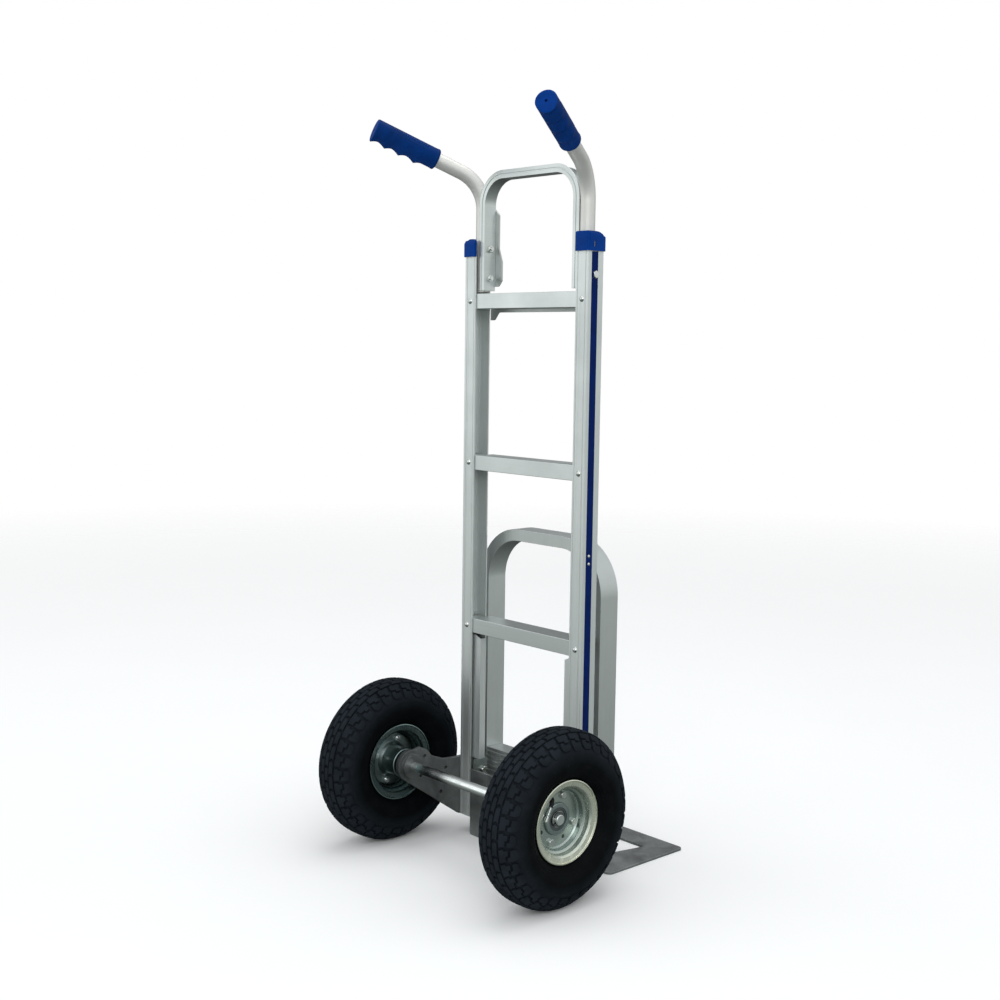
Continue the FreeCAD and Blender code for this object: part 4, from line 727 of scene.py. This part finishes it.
def grip_frame(side, sign):
    """The grip's own axes: Z out along the bar from its outer end's centre, X down."""
    out = Vector((sign * math.sin(GRIP_SPLAY) * math.cos(GRIP_RISE),
                  math.cos(GRIP_SPLAY) * math.cos(GRIP_RISE), math.sin(GRIP_RISE)))
    level = Vector((out.y, -out.x, 0)).normalized()
    down = level.cross(out)
    if down.z > 0:
        down.negate()
    down.rotate(Quaternion(out, GRIP_TURN[side]))
    across = out.cross(down)
    points = [vert.co for vert in nodes["grip_" + side].data.vertices]
    far = max(point.dot(out) for point in points)
    rim = [point for point in points if far - point.dot(out) < END_REACH]
    axes = Matrix((down, across, out)).transposed().to_4x4()
    axes.translation = sum(rim, Vector()) / len(rim)
    return axes


def make_grip(side, sign):
    """A hollow grip, ring by ring from the hole in its outer end to its bore."""
    bm = bmesh.new()
    rings = []

    def ring(from_end, radius_at, shift=0.0):
        rings.append([bm.verts.new((radius_at(turn) * math.cos(turn) + shift,
                                    radius_at(turn) * math.sin(turn), -from_end))
                      for turn in (math.tau * i / GRIP_ROUND for i in range(GRIP_ROUND))])

    for depth, radius in HOLE_RINGS:
        ring(depth, lambda turn: radius, HOLE_SHIFT)
    for share in END_SHARES:
        start = GRIP_RADIUS - END_ROUND
        ring(END_DISH * (1 - share),
             lambda turn: start * share + ridge_height(0) * share * under_share(turn),
             HOLE_SHIFT * (1 - share))
    for step in range(1, GRIP_STEPS + 1):
        from_end = GRIP_LENGTH * (step / GRIP_STEPS) ** RING_CROWDING
        ring(from_end, lambda turn: grip_radius(from_end, turn))
    ring(GRIP_LENGTH, lambda turn: GRIP_BORE)
    ring(BORE_END, lambda turn: GRIP_BORE)
    skin_rings(bm, rings, close_ends=True)
    for face in bm.faces:
        face.material_index = int(face.calc_center_median().z > -END_ROUND / 2)
    add_knurl(bm)
    bmesh.ops.recalc_face_normals(bm, faces=bm.faces)
    bmesh.ops.transform(bm, matrix=grip_frame(side, sign), verts=bm.verts)
    add_piece("moulded_grip_" + side, bm, ["grip", "blue"], "frame",
              ["grip_" + side])


def add_knurl(bm):
    """Rows of small raised bars along both sides of the grip, above the fingers."""
    corners = ((-1, -1), (1, -1), (1, 1), (-1, 1))
    for row, degrees in enumerate(KNURL_TURNS):
        turn = math.radians(degrees)
        for number in range(KNURL_COUNT):
            from_end = (KNURL_START + KNURL_SPACING * number + KNURL_SHIFT * (row % 2)) * MM
            rings = []
            for height, half_long, half_wide in KNURL_RINGS:
                radius = GRIP_RADIUS + height * MM
                rings.append([bm.verts.new((
                    radius * math.cos(turn + y * half_wide * MM / GRIP_RADIUS),
                    radius * math.sin(turn + y * half_wide * MM / GRIP_RADIUS),
                    -from_end + x * half_long * MM)) for x, y in corners])
            skin_rings(bm, rings, close_ends=True)


# ------------------------------------------------------------------ rail caps

CAP_CORNER_STEPS = 6
# plan corner radii at the inner and outer edges
CAP_CORNERS = (2 * MM, 5 * MM)
# how deep the lip behind the tube is, how far the rest stands back from the inner edge,
# and how far inside the outer wall the rings of the top shrink to
CAP_LIP = 4.4 * MM
CAP_OPEN = 16 * MM
CAP_HUB = 8 * MM
# how each edge of the top falls away: over what length, and how far
CAP_TOP = {"inner": (2.5 * MM, 2.5 * MM), "outer": (4 * MM, 4 * MM),
           "flat": (2.5 * MM, 2.5 * MM), "hood": (21 * MM, 13 * MM),
           "low_hood": (13 * MM, 11 * MM)}
# the scale of each ring of the top, from the wall inwards
CAP_INSETS = (1.0, 0.993, 0.98, 0.965, 0.945, 0.92, 0.89, 0.86, 0.82, 0.78, 0.73, 0.68, 0.62,
              0.56, 0.5, 0.44, 0.37, 0.3, 0.23, 0.16, 0.08)
# the scale of the skirt's inner side, and how far up it reaches
CAP_SKIRT = 0.95
CAP_TUCK = 2 * MM
CAP_SHARP_DEGREES = 30
# how far the cap laps over the rail's inner face
CAP_LAP = 0.6 * MM
# the slot in the outer wall: its place from the rear and the foot, its half width and half
# height, its depth, and how far off the wall a face may be and still be taken for it
SLOT_BACK = 13.5 * MM
SLOT_UP = 10 * MM
SLOT_HALF = (1.6 * MM, 4.3 * MM)
SLOT_DEEP = 1.4 * MM
SLOT_NEAR = 0.05 * MM


def cap_plan(inner, outer, front, rear):
    """The cap's outline as (x, y) points: an L, open at the inner side where the handle's
    tube comes up."""
    small, large = CAP_CORNERS
    points = []
    for x, y, radius, start in ((outer, rear, large, 0), (inner, rear, small, 90)):
        points += corner(x, y, radius, start)
    points += [(inner, rear - CAP_LIP), (inner + CAP_OPEN, rear - CAP_LIP)]
    for x, y, radius, start in ((inner + CAP_OPEN, front, small, 180), (outer, front, large, 270)):
        points += corner(x, y, radius, start)
    return points


def corner(x, y, radius, start):
    """Points of a rounded corner, from one compass angle through a quarter turn."""
    turns = [math.radians(start + 90 * step / CAP_CORNER_STEPS)
             for step in range(CAP_CORNER_STEPS + 1)]
    half = math.radians(start + 45)
    middle = (x - math.copysign(radius, math.cos(half)), y - math.copysign(radius, math.sin(half)))
    return [(middle[0] + radius * math.cos(turn), middle[1] + radius * math.sin(turn))
            for turn in turns]


def make_cap(side, sign):
    """A hooded cap: the right one slopes to the front, the left one to the rear."""
    low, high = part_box("rail_cap_" + side)
    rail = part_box("rail_" + side)
    inner = min(abs(rail[0].x), abs(rail[1].x)) - CAP_LAP
    outer = max(abs(low.x), abs(high.x))
    slopes = ("low_hood", "flat") if side == "left" else ("flat", "hood")

    def top_at(x, y):
        """Height of the top: each side's rounding, joined at the corners."""
        gaps = {"inner": x - inner, "outer": outer - x, slopes[0]: high.y - y,
                slopes[1]: y - low.y}
        shares = [(max(0.0, 1 - gap / CAP_TOP[edge][0]), CAP_TOP[edge][1])
                  for edge, gap in gaps.items()]
        total = sum(share ** 2 for share, _ in shares)
        if not total:
            return high.z
        tall = sum(tall * share ** 2 for share, tall in shares) / total
        return high.z - tall * (1 - math.sqrt(max(0.0, 1 - total)))

    plan = cap_plan(inner, outer, low.y, high.y)
    middle = (outer - CAP_HUB, high.y - CAP_LIP / 2)
    bm = bmesh.new()

    def ring(scale, height):
        verts = []
        for x, y in plan:
            x, y = (m + (p - m) * scale for p, m in zip((x, y), middle))
            verts.append(bm.verts.new((sign * x, y, height(x, y))))
        return verts

    rings = [ring(CAP_SKIRT, lambda x, y: low.z + CAP_TUCK),
             ring(CAP_SKIRT, lambda x, y: low.z), ring(1.0, lambda x, y: low.z)]
    rings += [ring(scale, top_at) for scale in CAP_INSETS]
    skin_rings(bm, rings, close_ends=True)
    bmesh.ops.recalc_face_normals(bm, faces=bm.faces)
    cut_slot(bm, Vector((sign * outer, high.y - SLOT_BACK, low.z + SLOT_UP)), sign)
    add_piece("hooded_cap_" + side, bm, ["blue", "plate"], "frame",
              ["rail_cap_" + side], sharp_degrees=CAP_SHARP_DEGREES)


def cut_slot(bm, middle, sign):
    """A short upright slot in the outer wall, with bright metal behind it."""
    slot_area = 4 * SLOT_HALF[0] * SLOT_HALF[1]
    for axis, half in enumerate(SLOT_HALF, start=1):
        for way in (-1, 1):
            wall = [face for face in bm.faces if abs(face.normal.x - sign) < 0.01
                    and abs(face.calc_center_median().x - middle.x) < SLOT_NEAR
                    and face.calc_area() > slot_area * 0.98]
            place, normal = middle.copy(), Vector()
            place[axis] += way * half
            normal[axis] = 1
            edges = {edge for face in wall for edge in face.edges}
            verts = {vert for face in wall for vert in face.verts}
            bmesh.ops.bisect_plane(bm, geom=[*verts, *edges, *wall], plane_co=place,
                                   plane_no=normal)
    bm.normal_update()
    pane = min(bm.faces, key=lambda face: (face.calc_center_median() - middle).length)
    sunk = bmesh.ops.extrude_face_region(bm, geom=[pane])
    floor = [item for item in sunk["geom"] if isinstance(item, bmesh.types.BMFace)]
    bmesh.ops.translate(bm, verts=floor[0].verts, vec=(-sign * SLOT_DEEP, 0, 0))
    bmesh.ops.delete(bm, geom=[pane], context="FACES_ONLY")
    floor[0].material_index = 1


# ---------------------------------------------------------------------- valves

# the valve's path in the wheel's frame, in millimetres: out along the axle, back, up
VALVE_PATH = [(4.3, 13.5, 33), (8.2, 13.9, 32.4), (10.8, 16.0, 28.6), (11.6, 19.0, 22.4),
              (11.4, 23.4, 13.4), (11.0, 29.0, 1.2)]
TUBE_STEPS = 14
# radii in millimetres, and places as shares of the boot's or the stem's length
BOOT_RADIUS, BOOT_TAPER, BOOT_FOOT, BOOT_FOOT_END = 3.7, 0.7, 2.6, 0.16
STEM_RADIUS, THREAD_DEPTH, THREAD_TURNS, THREAD_SPAN = 2.5, 0.16, 22, (0.36, 0.62)
VALVE_CAP_START, VALVE_CAP_RADIUS = 0.64, 3.5
VALVE_CAP_TIP_START, VALVE_CAP_TIP_DROP = 0.93, 1.1


def tube_along(bm, points, radius_at, around=28):
    """Rings along a smooth line; radius_at takes the share of the line's length."""
    line = smooth_line(points, TUBE_STEPS)
    lengths = [0.0]
    for one, two in zip(line, line[1:]):
        lengths.append(lengths[-1] + (two - one).length)
    rings = []
    for i, point in enumerate(line):
        run = line[min(i + 1, len(line) - 1)] - line[max(i - 1, 0)]
        turn = run.to_track_quat("Z", "X")
        radius = radius_at(lengths[i] / lengths[-1])
        rings.append([bm.verts.new(point + turn @ Vector((radius * math.cos(angle),
                                                          radius * math.sin(angle), 0)))
                      for angle in (math.tau * k / around for k in range(around))])
    skin_rings(bm, rings, close_ends=True)


def make_valve(side, sign):
    """A bent valve: a rubber boot, then a threaded metal stem with its cap."""
    middle = centre_of("tyre_" + side)
    points = [middle + Vector((sign * x, y, z)) * MM for x, y, z in VALVE_PATH]

    def rubber_radius(share):
        foot = BOOT_FOOT * max(0.0, 1 - share / BOOT_FOOT_END)
        return (BOOT_RADIUS + foot - BOOT_TAPER * share) * MM

    bm = bmesh.new()
    tube_along(bm, points[:4], rubber_radius)
    bmesh.ops.recalc_face_normals(bm, faces=bm.faces)
    add_piece("valve_boot_" + side, bm, ["valve"], "wheel_" + side,
              ["valve_" + side])

    def stem_radius(share):
        if share > VALVE_CAP_START:
            tip = max(0.0, (share - VALVE_CAP_TIP_START) / (1 - VALVE_CAP_TIP_START))
            return (VALVE_CAP_RADIUS - VALVE_CAP_TIP_DROP * tip) * MM
        if THREAD_SPAN[0] < share < THREAD_SPAN[1]:
            return (STEM_RADIUS + THREAD_DEPTH * math.sin(share * math.tau * THREAD_TURNS)) * MM
        return STEM_RADIUS * MM

    bm = bmesh.new()
    tube_along(bm, points[3:], stem_radius)
    bmesh.ops.recalc_face_normals(bm, faces=bm.faces)
    add_piece("valve_stem_" + side, bm, ["fastener"], "wheel_" + side)


for side, sign in SIDES.items():
    make_tyre(side)
    make_grip(side, sign)
    make_valve(side, sign)
    make_cap(side, sign)


# ------------------------------------------------- floor, light and the camera

FLOOR_RADIUS, FLOOR_RINGS, FLOOR_AROUND = 9.0, 12, 96
# distances from the object between which the floor fades away
FLOOR_FADE = (1.2, 5.0)
FLOOR_TONES = ((0.955, 0.95, 0.945, 1), (0.985, 0.98, 0.975, 1))

# the surroundings' light from straight below to straight above
SKY = [(0.0, (0.11, 0.125, 0.12, 1)), (0.36, (0.27, 0.30, 0.29, 1)),
       (0.45, (0.56, 0.60, 0.59, 1)), (0.53, (0.86, 0.90, 0.89, 1)),
       (0.65, (0.86, 0.89, 0.895, 1)), (1.0, (0.94, 0.97, 1.0, 1))]
# the studio's dark end, beyond the load side, and how the light falls off towards it
DARK_SIDE = (0.73, -0.68, 0.0)
DARK_FALL = (0.1, 0.85, 1.0, 0.25)

# each softbox: name, place, aim, size, power, colour
SOFTBOXES = [
    ("key", (-2.6, 2.4, 2.6), (0, 0, 0.6), (2.2, 2.2), 26, (1, 1, 1)),
    ("side", (2.6, 2.2, 1.5), (0, 0, 0.6), (3.0, 3.0), 11, (0.97, 1.0, 1.0)),
    ("top", (0.2, -0.4, 3.4), (0, 0, 0.5), (2.4, 2.4), 28, (1, 1, 1)),
]

CAMERA_PLACE = (-1.59572, 1.49038, 0.81294)
# the camera's heading, pitch and roll in degrees, and its lens and sensor in millimetres
HEADING, PITCH, ROLL = -42.39, -6.287, 0.784
LENS, SENSOR = 50.59, 36


def make_floor():
    """A pale floor that fades into the pale surroundings well away from the object."""
    bm = bmesh.new()
    discs = []
    for radius in (FLOOR_RADIUS * (k / FLOOR_RINGS) for k in range(1, FLOOR_RINGS + 1)):
        turns = [math.tau * i / FLOOR_AROUND for i in range(FLOOR_AROUND)]
        discs.append([bm.verts.new((radius * math.cos(turn), radius * math.sin(turn), 0))
                      for turn in turns])
    skin_rings(bm, discs)
    bm.faces.new(discs[0])
    mesh = bpy.data.meshes.new("floor")
    bm.to_mesh(mesh)
    bm.free()
    finish = Finish("pale_floor", Roughness=0.8, Specular_IOR_Level=0.2)
    cloud = finish.noise(2.2, detail=4)
    finish.colour(finish.mix(cloud, *FLOOR_TONES))
    finish.bump(finish.noise(350, detail=3), 0.1 * MM, 0.3)
    away = finish.add("VectorMath", Vector=finish.place)
    away.operation = "LENGTH"
    fade = finish.span(away.outputs["Value"], *FLOOR_FADE, 0.0, 1.0)
    clear = finish.tree.nodes.new("ShaderNodeBsdfTransparent")
    blend = finish.tree.nodes.new("ShaderNodeMixShader")
    output = finish.tree.nodes["Material Output"]
    finish.tree.links.new(fade, blend.inputs[0])
    finish.tree.links.new(finish.shader.outputs[0], blend.inputs[1])
    finish.tree.links.new(clear.outputs[0], blend.inputs[2])
    finish.tree.links.new(blend.outputs[0], output.inputs["Surface"])
    mesh.materials.append(finish.material)
    floor = bpy.data.objects.new("floor", mesh)
    scene.collection.objects.link(floor)
    floor.visible_glossy = False


def make_surroundings():
    """Pale to the eye; for light and reflections, brighter overhead than near the floor,
    and dark at one end."""
    world = bpy.data.worlds.new("studio")
    scene.world = world
    world.use_nodes = True
    tree = world.node_tree
    background = tree.nodes["Background"]
    direction = tree.nodes.new("ShaderNodeTexCoord").outputs["Generated"]
    height = tree.nodes.new("ShaderNodeSeparateXYZ")
    tree.links.new(direction, height.inputs[0])
    ramp = tree.nodes.new("ShaderNodeValToRGB")
    halved = tree.nodes.new("ShaderNodeMath")
    halved.operation = "MULTIPLY_ADD"
    for socket in halved.inputs[1:]:
        socket.default_value = 0.5
    tree.links.new(height.outputs["Z"], halved.inputs[0])
    tree.links.new(halved.outputs["Value"], ramp.inputs["Fac"])
    for element, (place, colour) in zip(ramp.color_ramp.elements, (SKY[0], SKY[-1])):
        element.position = place
        element.color = colour
    for place, colour in SKY[1:-1]:
        ramp.color_ramp.elements.new(place).color = colour
    seen = tree.nodes.new("ShaderNodeMix")
    seen.data_type = "RGBA"
    path = tree.nodes.new("ShaderNodeLightPath")
    tree.links.new(path.outputs["Is Camera Ray"], seen.inputs["Factor"])
    tree.links.new(ramp.outputs["Color"], find_socket(seen.inputs, "A_Color"))
    find_socket(seen.inputs, "B_Color").default_value = (1, 1, 1, 1)
    tree.links.new(find_socket(seen.outputs, "Result_Color"), background.inputs["Color"])
    facing = tree.nodes.new("ShaderNodeVectorMath")
    facing.operation = "DOT_PRODUCT"
    tree.links.new(direction, facing.inputs[0])
    facing.inputs[1].default_value = DARK_SIDE
    shade = tree.nodes.new("ShaderNodeMapRange")
    tree.links.new(facing.outputs["Value"], shade.inputs["Value"])
    set_range(shade, *DARK_FALL)
    strength = tree.nodes.new("ShaderNodeMath")
    strength.operation = "MAXIMUM"
    tree.links.new(shade.outputs["Result"], strength.inputs[0])
    tree.links.new(path.outputs["Is Camera Ray"], strength.inputs[1])
    tree.links.new(strength.outputs["Value"], background.inputs["Strength"])


def add_softbox(name, place, aim, size, power, colour):
    """A soft rectangular lamp, turned to its aim."""
    lamp = bpy.data.lights.new(name, "AREA")
    lamp.shape = "RECTANGLE"
    lamp.size, lamp.size_y = size
    lamp.energy = power
    lamp.color = colour
    box = bpy.data.objects.new(name, lamp)
    box.location = place
    box.rotation_euler = (Vector(aim) - Vector(place)).to_track_quat("-Z", "Y").to_euler()
    scene.collection.objects.link(box)


def make_camera():
    """The photograph's viewing angle: from behind and to the right, a little downwards."""
    heading, pitch, roll = (math.radians(degrees) for degrees in (HEADING, PITCH, ROLL))
    lens = bpy.data.cameras.new("camera")
    lens.lens = LENS
    lens.sensor_width = SENSOR
    camera = bpy.data.objects.new("camera", lens)
    tilt = Matrix.Rotation(math.pi / 2 + pitch, 4, "X")
    swing = Matrix.Rotation(heading - math.pi / 2, 4, "Z")
    spin = Matrix.Rotation(roll, 4, "Z")
    camera.matrix_world = Matrix.Translation(CAMERA_PLACE) @ swing @ tilt @ spin
    scene.collection.objects.link(camera)
    scene.camera = camera


make_floor()
make_surroundings()
for softbox in SOFTBOXES:
    add_softbox(*softbox)
make_camera()
scene.view_settings.view_transform = "Standard"
scene.cycles.use_denoising = True
